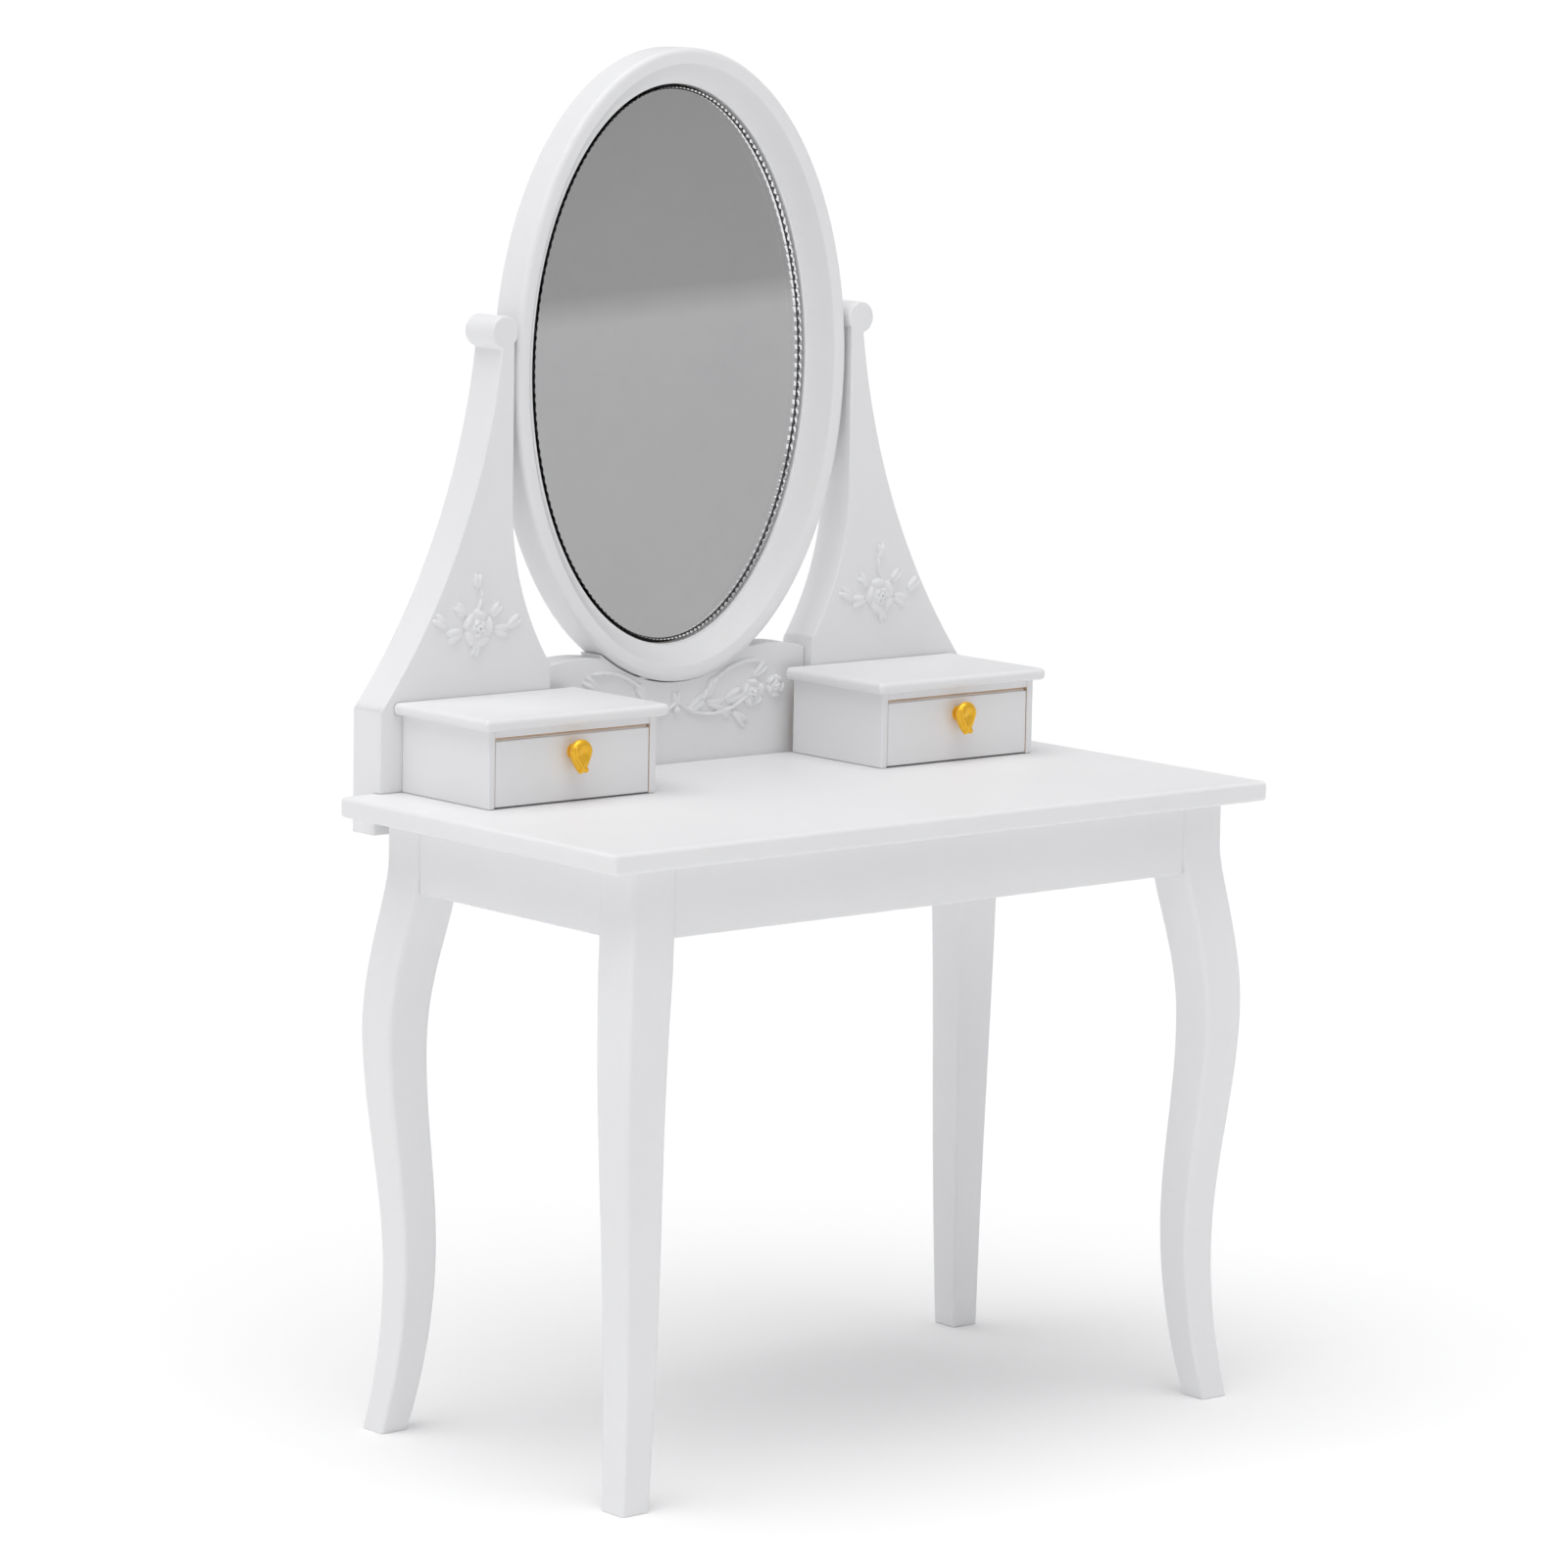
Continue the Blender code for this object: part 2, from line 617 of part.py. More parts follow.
def build_mirror_frame():
    """The oval frame: its section swept round the outer ellipse, with a pin hole in each side."""
    profile = curve_from_points("frame_section", [(-across, -back) for across, back in frame_profile()])
    section = add_cutter("frame_section", profile)
    path = curve_from_points("frame_path", ellipse(MIRROR_WIDTH, MIRROR_HEIGHT, ELLIPSE_STEPS))
    path.dimensions = "3D"
    path.twist_mode = "Z_UP"
    path.bevel_mode = "OBJECT"
    path.bevel_object = section
    mesh = mesh_from_curve("mirror_frame", path, upright(y=FRAME_FRONT_Y, z=MIRROR_Z))
    mesh.transform(Matrix.Translation((0, -FRAME_Y, -PIVOT_Z)))
    frame = add_part("mirror_frame", mesh, white_paint(), (0.0, FRAME_Y, PIVOT_Z))
    for side_name, side in SIDES.items():
        hole = pin_hole(f"frame_hole_{side_name}", side, FRAME_REACH - PIN_IN_FRAME, PIN_IN_FRAME)
        hole.location.x += side * (PIVOT_GAP - PIN_CLEARANCE)
        cut(frame, hole)
    shade_round(frame)


def inner_oval(inset):
    """Points at one distance inside the mirror's outline, which is not itself an ellipse."""
    half, tall = MIRROR_WIDTH / 2, MIRROR_HEIGHT / 2
    points = []
    for x, z in ellipse(MIRROR_WIDTH, MIRROR_HEIGHT, ELLIPSE_STEPS):
        normal = Vector((x / half**2, z / tall**2)).normalized()
        points.append((x - inset * normal.x, MIRROR_Z + z - inset * normal.y))
    return points


def build_oval(name, gap, front_y, thickness, material):
    """An oval plate inside the frame with a gap all round, its origin on the tilting axis."""
    outline = inner_oval(FRAME_WIDTH + gap)
    mesh = plate_mesh(name, outline, thickness, front_y + thickness / 2)
    mesh.transform(Matrix.Translation((0, -FRAME_Y, -PIVOT_Z)))
    add_part(name, mesh, material, (0.0, FRAME_Y, PIVOT_Z))


def build_mirror():
    """The frame, the backing board that closes it, and the mirror plate glued to the backing."""
    build_mirror_frame()
    backing_y = FRAME_FRONT_Y + FRAME_DEPTH - BACKING_THICKNESS
    build_oval("mirror_backing", GLUE_GAP, backing_y, BACKING_THICKNESS, bare_wood())
    plate_y = backing_y - GLUE_GAP - PLATE_THICKNESS
    build_oval("mirror_plate", PLATE_GAP, plate_y, PLATE_THICKNESS, mirror_silver())


def build_pins():
    """The two pins that the mirror tilts on, each fixed in a wing's head."""
    start = FRAME_REACH - PIN_IN_FRAME
    end = HEAD_X - HEAD_RADIUS + PIN_IN_HEAD
    for side_name, side in SIDES.items():
        name = f"pivot_pin_{side_name}"
        mesh = rod_mesh(name, PIN_RADIUS, end - start, 16)
        shade_round(add_part(name, mesh, pin_steel(), (side * (start + end) / 2, FRAME_Y, PIVOT_Z)))


# ---------------------------------------------------------------- drawer units


def build_case(side_name, side):
    """One drawer case: two sides, a back and a ceiling board, all glued to the table top."""
    middle = side * CASE_X
    half = CASE_WIDTH / 2
    for wall_name, wall in {"inner": -side, "outer": side}.items():
        near, far = sorted((middle + wall * half, middle + wall * (half - CASE_WALL)))
        low = (near, CASE_FRONT_Y, DECK_Z)
        high = (far, CASE_BACK_Y, CASE_TOP_Z)
        board(f"case_{side_name}_{wall_name}_side", low, high, white_paint())
    inner = half - CASE_WALL - GLUE_GAP
    low = (middle - inner, CASE_BACK_Y - CASE_WALL, DECK_Z)
    high = (middle + inner, CASE_BACK_Y, OPENING_TOP_Z - GLUE_GAP)
    board(f"case_{side_name}_back", low, high, bare_wood())
    low = (middle - inner, CASE_FRONT_Y, OPENING_TOP_Z)
    high = (middle + inner, CASE_BACK_Y, CASE_TOP_Z)
    board(f"case_{side_name}_ceiling", low, high, white_paint())


def build_lid(side_name, side):
    """The lid of one case, with a bullnose edge that overhangs the front and both sides."""
    middle = side * CASE_X
    reach = CASE_WIDTH / 2 + LID_OVERHANG
    low_z = CASE_TOP_Z + GLUE_GAP
    low = (middle - reach, CASE_FRONT_Y - LID_OVERHANG, low_z)
    high = (middle + reach, CASE_BACK_Y, low_z + LID_THICKNESS)
    lid = board(f"lid_{side_name}", low, high, white_paint())
    round_edges(lid, LID_ROUND, segments=3)
    shade_round(lid)


def build_drawer(side_name, side):
    """One drawer: front, two tray sides, tray back and tray bottom."""
    middle = side * CASE_X
    reach = CASE_WIDTH / 2 - CASE_WALL - SLIDE_GAP
    base_z = DECK_Z + SLIDE_GAP
    back_y = CASE_BACK_Y - CASE_WALL - DRAWER_BACK_GAP
    tray_y = CASE_FRONT_Y + DRAWER_FRONT + GLUE_GAP
    rim_z = base_z + TRAY_HEIGHT
    low = (middle - reach, CASE_FRONT_Y, base_z)
    high = (middle + reach, CASE_FRONT_Y + DRAWER_FRONT, OPENING_TOP_Z - DRAWER_TOP_GAP)
    front = board(f"drawer_{side_name}_front", low, high, white_paint())
    place = (middle, CASE_FRONT_Y, TABLE_HEIGHT + KNOB_HEIGHT)
    mesh = rod_mesh("stem_hole", STEM_RADIUS + GLUE_GAP, 4 * DRAWER_FRONT, 16)
    mesh.transform(Matrix.Rotation(math.pi / 2, 4, "Z"))
    cut(front, add_cutter(f"drawer_{side_name}_hole", mesh, place))
    for wall_name, wall in {"inner": -side, "outer": side}.items():
        near, far = sorted((middle + wall * reach, middle + wall * (reach - TRAY_WALL)))
        low, high = (near, tray_y, base_z), (far, back_y, rim_z)
        board(f"drawer_{side_name}_{wall_name}_side", low, high, bare_wood())
    inner = reach - TRAY_WALL - GLUE_GAP
    low = (middle - inner, back_y - TRAY_WALL, base_z)
    board(f"drawer_{side_name}_back", low, (middle + inner, back_y, rim_z), bare_wood())
    low = (middle - inner, tray_y, base_z)
    high = (middle + inner, back_y - TRAY_WALL - GLUE_GAP, base_z + TRAY_BOTTOM)
    board(f"drawer_{side_name}_bottom", low, high, bare_wood())


def build_knob(side_name, side):
    """One knob: a drop-shaped gilt head on a stem that goes through the drawer front."""
    name = f"knob_{side_name}"
    mesh = lobe_mesh(name, (1.0, 1.0, 1.0), 14, 10)
    for vert in mesh.vertices:
        across, out, up = vert.co
        width = KNOB_WIDTH / 2 * (1.0 + KNOB_TAPER * min(0.0, up))
        vert.co = (across * width, out * KNOB_DEPTH / 2, up * (KNOB_RISE if up > 0 else KNOB_DROP))
    place = (side * CASE_X, CASE_FRONT_Y - KNOB_STANDOFF - KNOB_DEPTH / 2, TABLE_HEIGHT + KNOB_HEIGHT)
    knob = add_part(name, mesh, gilt_metal(), place)
    end_y = CASE_FRONT_Y + DRAWER_FRONT
    stem = rod_mesh("stem", STEM_RADIUS, end_y - place[1], 16)
    stem.transform(Matrix.Rotation(math.pi / 2, 4, "Z"))
    middle = (place[0], (place[1] + end_y) / 2, place[2])
    cut(knob, add_cutter(f"{name}_stem", stem, middle), "UNION")
    shade_round(knob, 40)


def build_drawer_units():
    """Both drawer units, mirror images of each other."""
    for side_name, side in SIDES.items():
        build_case(side_name, side)
        build_lid(side_name, side)
        build_drawer(side_name, side)
        build_knob(side_name, side)


def main():
    """Build every piece of the dressing table."""
    clear_scene()
    build_top()
    build_legs()
    build_aprons()
    for side_name, side in SIDES.items():
        build_wing(side_name, side)
    build_panel()
    build_wing_sprays()
    build_panel_spray()
    build_mirror()
    build_pins()
    build_drawer_units()
    bpy.context.view_layer.update()


main()
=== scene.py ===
"""Dresses the miniature dressing table: its finished pieces, finishes, studio and camera.

Every piece is modelled in millimetres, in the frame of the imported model, and seated in metres
when it is dressed. +X is to the right of someone who faces the mirror and +Y is to the back.
"""

import json
import logging
import math
from contextlib import contextmanager
from dataclasses import dataclass
from enum import Enum
from typing import Callable, Iterator, Sequence

import bmesh
import bpy
from mathutils import Matrix, Vector

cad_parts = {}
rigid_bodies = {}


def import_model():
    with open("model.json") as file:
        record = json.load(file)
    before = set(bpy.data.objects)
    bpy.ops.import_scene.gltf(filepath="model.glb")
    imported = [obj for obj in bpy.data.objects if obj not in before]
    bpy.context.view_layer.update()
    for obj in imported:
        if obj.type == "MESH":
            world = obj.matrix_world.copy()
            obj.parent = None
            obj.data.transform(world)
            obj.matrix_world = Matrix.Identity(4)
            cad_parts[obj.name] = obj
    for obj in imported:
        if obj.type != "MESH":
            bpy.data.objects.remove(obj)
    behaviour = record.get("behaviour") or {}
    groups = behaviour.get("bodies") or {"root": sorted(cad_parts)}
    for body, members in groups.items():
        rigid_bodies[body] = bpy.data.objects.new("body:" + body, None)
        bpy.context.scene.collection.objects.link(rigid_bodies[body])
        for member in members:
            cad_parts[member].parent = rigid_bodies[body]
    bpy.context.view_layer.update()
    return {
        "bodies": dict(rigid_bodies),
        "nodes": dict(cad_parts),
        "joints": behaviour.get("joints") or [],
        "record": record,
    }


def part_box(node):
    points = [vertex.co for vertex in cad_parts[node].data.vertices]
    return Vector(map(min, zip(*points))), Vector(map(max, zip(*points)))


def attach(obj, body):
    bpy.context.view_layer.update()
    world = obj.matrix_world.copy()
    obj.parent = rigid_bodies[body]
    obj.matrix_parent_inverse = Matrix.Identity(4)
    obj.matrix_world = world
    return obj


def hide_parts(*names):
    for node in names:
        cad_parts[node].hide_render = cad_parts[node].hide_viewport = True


log = logging.getLogger("dressing_table")

MM = 0.001

Point = tuple[float, float]
Colour = tuple[float, float, float]
Object = bpy.types.Object
Node = bpy.types.Node
Material = bpy.types.Material
Face = bpy.types.MeshPolygon

WHITE = (1.0, 1.0, 1.0)
BLACK = (0.0, 0.0, 0.0)
ALONG_X = (0.0, math.pi / 2, 0.0)
ALONG_Y = (math.pi / 2, 0.0, 0.0)


class Slot(Enum):
    """The material slots of the record."""

    PAINT = "white_paint"
    WOOD = "bare_wood"
    MIRROR = "mirror_plate"
    GILT = "gilt_metal"
    STEEL = "pin_steel"


class Grain(Enum):
    """The way a board's grain runs, and the brush with it."""

    ACROSS = (0.12, 1.0, 1.0)
    DEEP = (1.0, 0.12, 1.0)
    UPRIGHT = (1.0, 1.0, 0.12)


class Body(Enum):
    """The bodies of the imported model."""

    ROOT = "root"
    LEFT_DRAWER = "left_drawer"
    RIGHT_DRAWER = "right_drawer"
    MIRROR = "mirror"


class Place(Enum):
    """A place whose name stands in the names of nodes."""

    @property
    def word(self) -> str:
        """The place's name in lower case."""
        return self.name.lower()


class Side(Place):
    """The two sides of the table, each with the sign of its X."""

    LEFT = -1
    RIGHT = 1

    @property
    def drawer(self) -> Body:
        """The body of this side's drawer."""
        return Body.LEFT_DRAWER if self is Side.LEFT else Body.RIGHT_DRAWER


class End(Place):
    """The two ends of the table's depth, each with the sign of its Y."""

    FRONT = -1
    BACK = 1


class Wall(Place):
    """The side walls of a case or tray, each with the sign of X towards the tray on the right."""

    INNER = 1
    OUTER = -1


# ------------------------------------------------------------------ finishes


class NodeSheet:
    """A material's nodes, added one by one and joined by name."""

    def __init__(self, name: str) -> None:
        """Start a material.

        Args:
            name: the material's name.
        """
        self.material = bpy.data.materials.new(name)
        self.material.use_nodes = True
        self.tree = self.material.node_tree
        self.shader = self.tree.nodes["Principled BSDF"]

    def add(self, kind: str, settings: dict | None = None, **sockets: float) -> Node:
        """Add a node.

        Args:
            kind: the node's type, without its ShaderNode prefix.
            settings: attributes of the node itself.
            **sockets: values of its input sockets, with _ for a space in their names.

        Returns:
            The new node.
        """
        made = self.tree.nodes.new(f"ShaderNode{kind}")
        for key, value in (settings or {}).items():
            setattr(made, key, value)
        for key, value in sockets.items():
            made.inputs[key.replace("_", " ")].default_value = value
        return made

    def join(self, start: Node, output: str, end: Node, socket: str | int) -> None:
        """Link an output to an input.

        Args:
            start: the node that gives.
            output: its output socket.
            end: the node that takes.
            socket: its input socket.
        """
        self.tree.links.new(start.outputs[output], end.inputs[socket])

    def place(self, scale: Sequence[float] = (1.0, 1.0, 1.0)) -> Node:
        """Add a Mapping node on object coordinates.

        Args:
            scale: the stretch of the pattern along each axis.

        Returns:
            The Mapping node.
        """
        coordinates = self.add("TexCoord")
        mapping = self.add("Mapping")
        mapping.inputs["Scale"].default_value = tuple(scale)
        self.join(coordinates, "Object", mapping, "Vector")
        return mapping

    def noise(self, mapping: Node, scale: float, detail: float = 3.0) -> Node:
        """Add a noise texture on a mapping.

        Args:
            mapping: the node that places it.
            scale: how many features a metre holds.
            detail: how many finer octaves it has.

        Returns:
            The noise node.
        """
        texture = self.add("TexNoise", Scale=scale, Detail=detail, Roughness=0.55)
        self.join(mapping, "Vector", texture, "Vector")
        return texture

    def ramp(self, source: Node, output: str, stops: Sequence[tuple[float, Colour]]) -> Node:
        """Add a colour ramp.

        Args:
            source: the node that drives it.
            output: that node's output.
            stops: each stop's place and colour.

        Returns:
            The ramp node.
        """
        ramp = self.add("ValToRGB")
        elements = ramp.color_ramp.elements
        while len(elements) < len(stops):
            elements.new(0.5)
        for element, (position, colour) in zip(elements, stops):
            element.position = position
            element.color = (*colour, 1.0)
        self.join(source, output, ramp, "Fac")
        return ramp

    def spread(self, source: Node, output: str, low: float, high: float) -> Node:
        """Add a node that maps 0 to 1 onto a range.

        Args:
            source: the node that drives it.
            output: that node's output.
            low: the value at 0.
            high: the value at 1.

        Returns:
            The Map Range node.
        """
        ranger = self.add("MapRange", To_Min=low, To_Max=high)
        self.join(source, output, ranger, "Value")
        return ranger

    def bump(self, source: Node, output: str, depth: float, under: Node | None = None) -> Node:
        """Add a bump.

        Args:
            source: the node that gives the height.
            output: that node's output.
            depth: how deep it is, in metres.
            under: another bump that this one lies on.

        Returns:
            The bump node.
        """
        made = self.add("Bump", Strength=1.0, Distance=depth)
        self.join(source, output, made, "Height")
        if under is not None:
            self.join(under, "Normal", made, "Normal")
        return made


@dataclass(frozen=True)
class SatinPaint:
    """White satin paint, brushed along the grain of the wood below it."""

    name: str
    grain: Grain
    colour: Colour = (0.86, 0.86, 0.865)
    shade: Colour = (0.835, 0.835, 0.842)
    slot: Slot = Slot.PAINT
    clouds: float = 45.0
    gloss: Point = (0.36, 0.56)
    gloss_grain: float = 900.0
    brush_grain: float = 2600.0
    brush_depth: float = 0.006 * MM
    nib_grain: float = 850.0
    nib_depth: float = 0.012 * MM

    def material(self) -> Material:
        """Build the material."""
        sheet = NodeSheet(self.name)
        even = sheet.place()
        along = sheet.place(self.grain.value)
        patches = sheet.noise(even, self.clouds, 4.0)
        tone = sheet.ramp(patches, "Fac", [(0.32, self.shade), (0.62, self.colour)])
        sheet.join(tone, "Color", sheet.shader, "Base Color")
        satin = sheet.spread(sheet.noise(along, self.gloss_grain), "Fac", *self.gloss)
        sheet.join(satin, "Result", sheet.shader, "Roughness")
        brush = sheet.bump(sheet.noise(along, self.brush_grain, 4.0), "Fac", self.brush_depth)
        nibs = sheet.add("TexVoronoi", {"feature": "SMOOTH_F1"}, Scale=self.nib_grain)
        sheet.join(even, "Vector", nibs, "Vector")
        raised = sheet.ramp(nibs, "Distance", [(0.06, WHITE), (0.22, BLACK)])
        spots = sheet.bump(raised, "Color", self.nib_depth, brush)
        sheet.join(spots, "Normal", sheet.shader, "Normal")
        return sheet.material


@dataclass(frozen=True)
class BareWood:
    """Pale wood with fine grain, left unpainted."""

    name: str
    grain: Grain
    light: Colour = (0.74, 0.56, 0.40)
    dark: Colour = (0.60, 0.43, 0.29)
    slot: Slot = Slot.WOOD
    figure: float = 2400.0
    dullness: Point = (0.60, 0.82)
    pore_grain: float = 5200.0
    pore_depth: float = 0.015 * MM

    def material(self) -> Material:
        """Build the material."""
        sheet = NodeSheet(self.name)
        along = sheet.place(self.grain.value)
        grain = sheet.noise(along, self.figure, 6.0)
        tone = sheet.ramp(grain, "Fac", [(0.25, self.dark), (0.60, self.light), (0.85, self.light)])
        sheet.join(tone, "Color", sheet.shader, "Base Color")
        dull = sheet.spread(grain, "Fac", *self.dullness)
        sheet.join(dull, "Result", sheet.shader, "Roughness")
        pores = sheet.bump(sheet.noise(along, self.pore_grain, 5.0), "Fac", self.pore_depth)
        sheet.join(pores, "Normal", sheet.shader, "Normal")
        return sheet.material


@dataclass(frozen=True)
class Acrylic:
    """Clear acrylic, very slightly cloudy."""

    name: str
    index: float = 1.49
    cloudy: Colour = (0.985, 0.985, 0.99)
    clouds: float = 60.0
    slot: Slot = Slot.MIRROR

    def material(self) -> Material:
        """Build the material."""
        sheet = NodeSheet(self.name)
        sheet.shader.inputs["Transmission Weight"].default_value = 1.0
        sheet.shader.inputs["IOR"].default_value = self.index
        sheet.shader.inputs["Roughness"].default_value = 0.0
        haze = sheet.noise(sheet.place(), self.clouds, 2.0)
        clear = sheet.ramp(haze, "Fac", [(0.3, self.cloudy), (0.7, WHITE)])
        sheet.join(clear, "Color", sheet.shader, "Base Color")
        return sheet.material


@dataclass(frozen=True)
class Metal:
    """A bright metal whose polish varies a little."""

    name: str
    colour: Colour
    slot: Slot
    polish: float
    spread: float
    metallic: float = 1.0
    dent: float = 0.0
    tarnish: float = 0.9
    patch_grain: float = 700.0
    dent_grain: float = 1800.0

    def material(self) -> Material:
        """Build the material."""
        sheet = NodeSheet(self.name)
        even = sheet.place()
        patches = sheet.noise(even, self.patch_grain)
        darker = tuple(self.tarnish * part for part in self.colour)
        tone = sheet.ramp(patches, "Fac", [(0.3, darker), (0.6, self.colour)])
        sheet.join(tone, "Color", sheet.shader, "Base Color")
        sheet.shader.inputs["Metallic"].default_value = self.metallic
        rough = sheet.spread(patches, "Fac", self.polish, self.polish + self.spread)
        sheet.join(rough, "Result", sheet.shader, "Roughness")
        if self.dent:
            dents = sheet.bump(sheet.noise(even, self.dent_grain, 2.0), "Fac", self.dent)
            sheet.join(dents, "Normal", sheet.shader, "Normal")
        return sheet.material


PAINT_ACROSS = SatinPaint("satin_paint_across", Grain.ACROSS)
PAINT_DEEP = SatinPaint("satin_paint_deep", Grain.DEEP)
PAINT_UPRIGHT = SatinPaint("satin_paint_upright", Grain.UPRIGHT)
WOOD_ACROSS = BareWood("bare_wood_across", Grain.ACROSS)
WOOD_DEEP = BareWood("bare_wood_deep", Grain.DEEP)
WOOD_UPRIGHT = BareWood("bare_wood_upright", Grain.UPRIGHT)
CLEAR = Acrylic("clear_acrylic")
SILVER = Metal("silvering", (0.86, 0.86, 0.868), Slot.MIRROR, 0.0, 0.0, tarnish=0.985)
GILT = Metal("gilt", (1.0, 0.56, 0.035), Slot.GILT, 0.26, 0.16, 0.55, 0.01 * MM)
STEEL = Metal("drawn_steel", (0.60, 0.60, 0.62), Slot.STEEL, 0.25, 0.15)
# Near-black painted shade, laid on the backing's face so that the gap round the mirror plate reads
# dark.
PAINTED_GAP_SHADE = BareWood("painted_gap_shade", Grain.UPRIGHT, (0.012, 0.012, 0.013), (0.006, 0.006, 0.007))

Finish = SatinPaint | BareWood | Acrylic | Metal


# ------------------------------------------------------------------ the bench


def select_only(piece: Object) -> None:
    """Make a piece the only one that is selected and active."""
    bpy.ops.object.select_all(action="DESELECT")
    piece.select_set(True)
    bpy.context.view_layer.objects.active = piece


@contextmanager
def editing(piece: Object, mode: str = "VERT") -> Iterator[None]:
    """Open a piece in edit mode.

    Args:
        piece: the piece to edit.
        mode: what is selected, VERT, EDGE or FACE.
    """
    select_only(piece)
    bpy.ops.object.mode_set(mode="EDIT")
    bpy.ops.mesh.select_mode(type=mode)
    try:
        yield
    finally:
        bpy.ops.object.mode_set(mode="OBJECT")


def pick_edges(piece: Object, wanted: Callable[[Vector, Vector], bool]) -> None:
    """Select the edges of a piece in edit mode whose two ends pass a test."""
    shape = bmesh.from_edit_mesh(piece.data)
    for edge in shape.edges:
        edge.select_set(wanted(edge.verts[0].co, edge.verts[1].co))
    bmesh.update_edit_mesh(piece.data)


def bevel_edges(width: float, segments: int, **settings: object) -> None:
    """Round the selected edges of the piece in edit mode.

    Args:
        width: the width of the rounding, in millimetres.
        segments: how many faces make it.
        **settings: the operator's other settings.
    """
    bpy.ops.mesh.bevel(offset=width, segments=segments, profile=0.5, affect="EDGES", **settings)


def add_primitive(name: str, add: Callable[..., set[str]], **settings: object) -> Object:
    """Add a primitive with nothing else selected, and put its place in its mesh.

    Args:
        name: the piece's name.
        add: the operator that adds it.
        **settings: the operator's settings.

    Returns:
        The primitive.
    """
    bpy.ops.object.select_all(action="DESELECT")
    add(**settings)
    piece = bpy.context.view_layer.objects.active
    piece.name = name
    select_only(piece)
    bpy.ops.object.transform_apply(location=True, rotation=True, scale=True)
    return piece


def add_block(name: str, low: Sequence[float], high: Sequence[float]) -> Object:
    """Add a block between two corners.

    Args:
        name: the piece's name.
        low: its lowest corner, in millimetres.
        high: its highest corner.

    Returns:
        The block.
    """
    low, high = Vector(low), Vector(high)
    add = bpy.ops.mesh.primitive_cube_add
    return add_primitive(name, add, size=1.0, location=(low + high) / 2, scale=high - low)


def add_ball(
    name: str, centre: Sequence[float], radii: Sequence[float], turn: float = 0.0
) -> Object:
    """Add a ball stretched along its axes and turned about Y.

    Args:
        name: the piece's name.
        centre: its middle.
        radii: its three radii.
        turn: the angle from +X towards +Z, in degrees.

    Returns:
        The ball.
    """
    return add_primitive(
        name,
        bpy.ops.mesh.primitive_uv_sphere_add,
        segments=20,
        ring_count=12,
        radius=1.0,
        location=centre,
        rotation=(0.0, -math.radians(turn), 0.0),
        scale=radii,
    )


def add_rod(
    name: str, centre: Sequence[float], radius: float, long: float, turn: Sequence[float]
) -> Object:
    """Add a round rod.

    Args:
        name: the piece's name.
        centre: its middle.
        radius: its radius.
        long: its length.
        turn: ALONG_X or ALONG_Y.

    Returns:
        The rod.
    """
    return add_primitive(
        name,
        bpy.ops.mesh.primitive_cylinder_add,
        vertices=32,
        radius=radius,
        depth=long,
        location=centre,
        rotation=turn,
    )


def add_loop(name: str, points: int, fill: str) -> Object:
    """Add a closed loop of points, to be laid on an outline.

    Args:
        name: the piece's name.
        points: how many points it has.
        fill: NGON to fill it, or NOTHING to leave it open.

    Returns:
        The loop.
    """
    add = bpy.ops.mesh.primitive_circle_add
    return add_primitive(name, add, vertices=points, radius=1.0, fill_type=fill)


def face_outwards(piece: Object) -> None:
    """Merge a piece's doubled points and turn all its faces outwards."""
    with editing(piece):
        bpy.ops.mesh.select_all(action="SELECT")
        bpy.ops.mesh.remove_doubles(threshold=0.0005)
        bpy.ops.mesh.normals_make_consistent(inside=False)


def add_plate(name: str, outline: Sequence[Point], front: float, back: float) -> Object:
    """Add an upright plate: a filled circle laid on an outline, then extruded.

    Args:
        name: the piece's name.
        outline: points in X and Z, in order round the plate.
        front: Y of its front.
        back: Y of its back.

    Returns:
        The plate.
    """
    plate = add_loop(name, len(outline), "NGON")
    for vert, (x, z) in zip(plate.data.vertices, outline):
        vert.co = (x, front, z)
    with editing(plate, "FACE"):
        bpy.ops.mesh.select_all(action="SELECT")
        away = {"value": (0.0, back - front, 0.0)}
        bpy.ops.mesh.extrude_region_move(TRANSFORM_OT_translate=away)
    face_outwards(plate)
    return plate


def apply(piece: Object, kind: str, **settings: object) -> None:
    """Add a modifier to a piece and apply it.

    Args:
        piece: the piece.
        kind: the modifier's type.
        **settings: the modifier's settings.
    """
    select_only(piece)
    modifier = piece.modifiers.new(kind.lower(), kind)
    for key, value in settings.items():
        setattr(modifier, key, value)
    bpy.ops.object.modifier_apply(modifier=modifier.name)


def polish(piece: Object, angle: float = 50.0) -> None:
    """Shade a piece smooth up to an angle, with normals weighted by its large faces."""
    select_only(piece)
    bpy.ops.object.shade_smooth_by_angle(angle=math.radians(angle))
    apply(piece, "WEIGHTED_NORMAL", keep_sharp=True, weight=60)


def ease(piece: Object, width: float, segments: int = 3, angle: float = 40.0) -> None:
    """Round the sharp edges of a piece, and keep its flats flat in the light.

    Args:
        piece: the piece.
        width: the width of the rounding, in millimetres.
        segments: how many faces make it.
        angle: the least angle of an edge that is rounded, in degrees.
    """
    limit = math.radians(angle)
    apply(piece, "BEVEL", width=width, segments=segments, limit_method="ANGLE", angle_limit=limit)
    polish(piece)


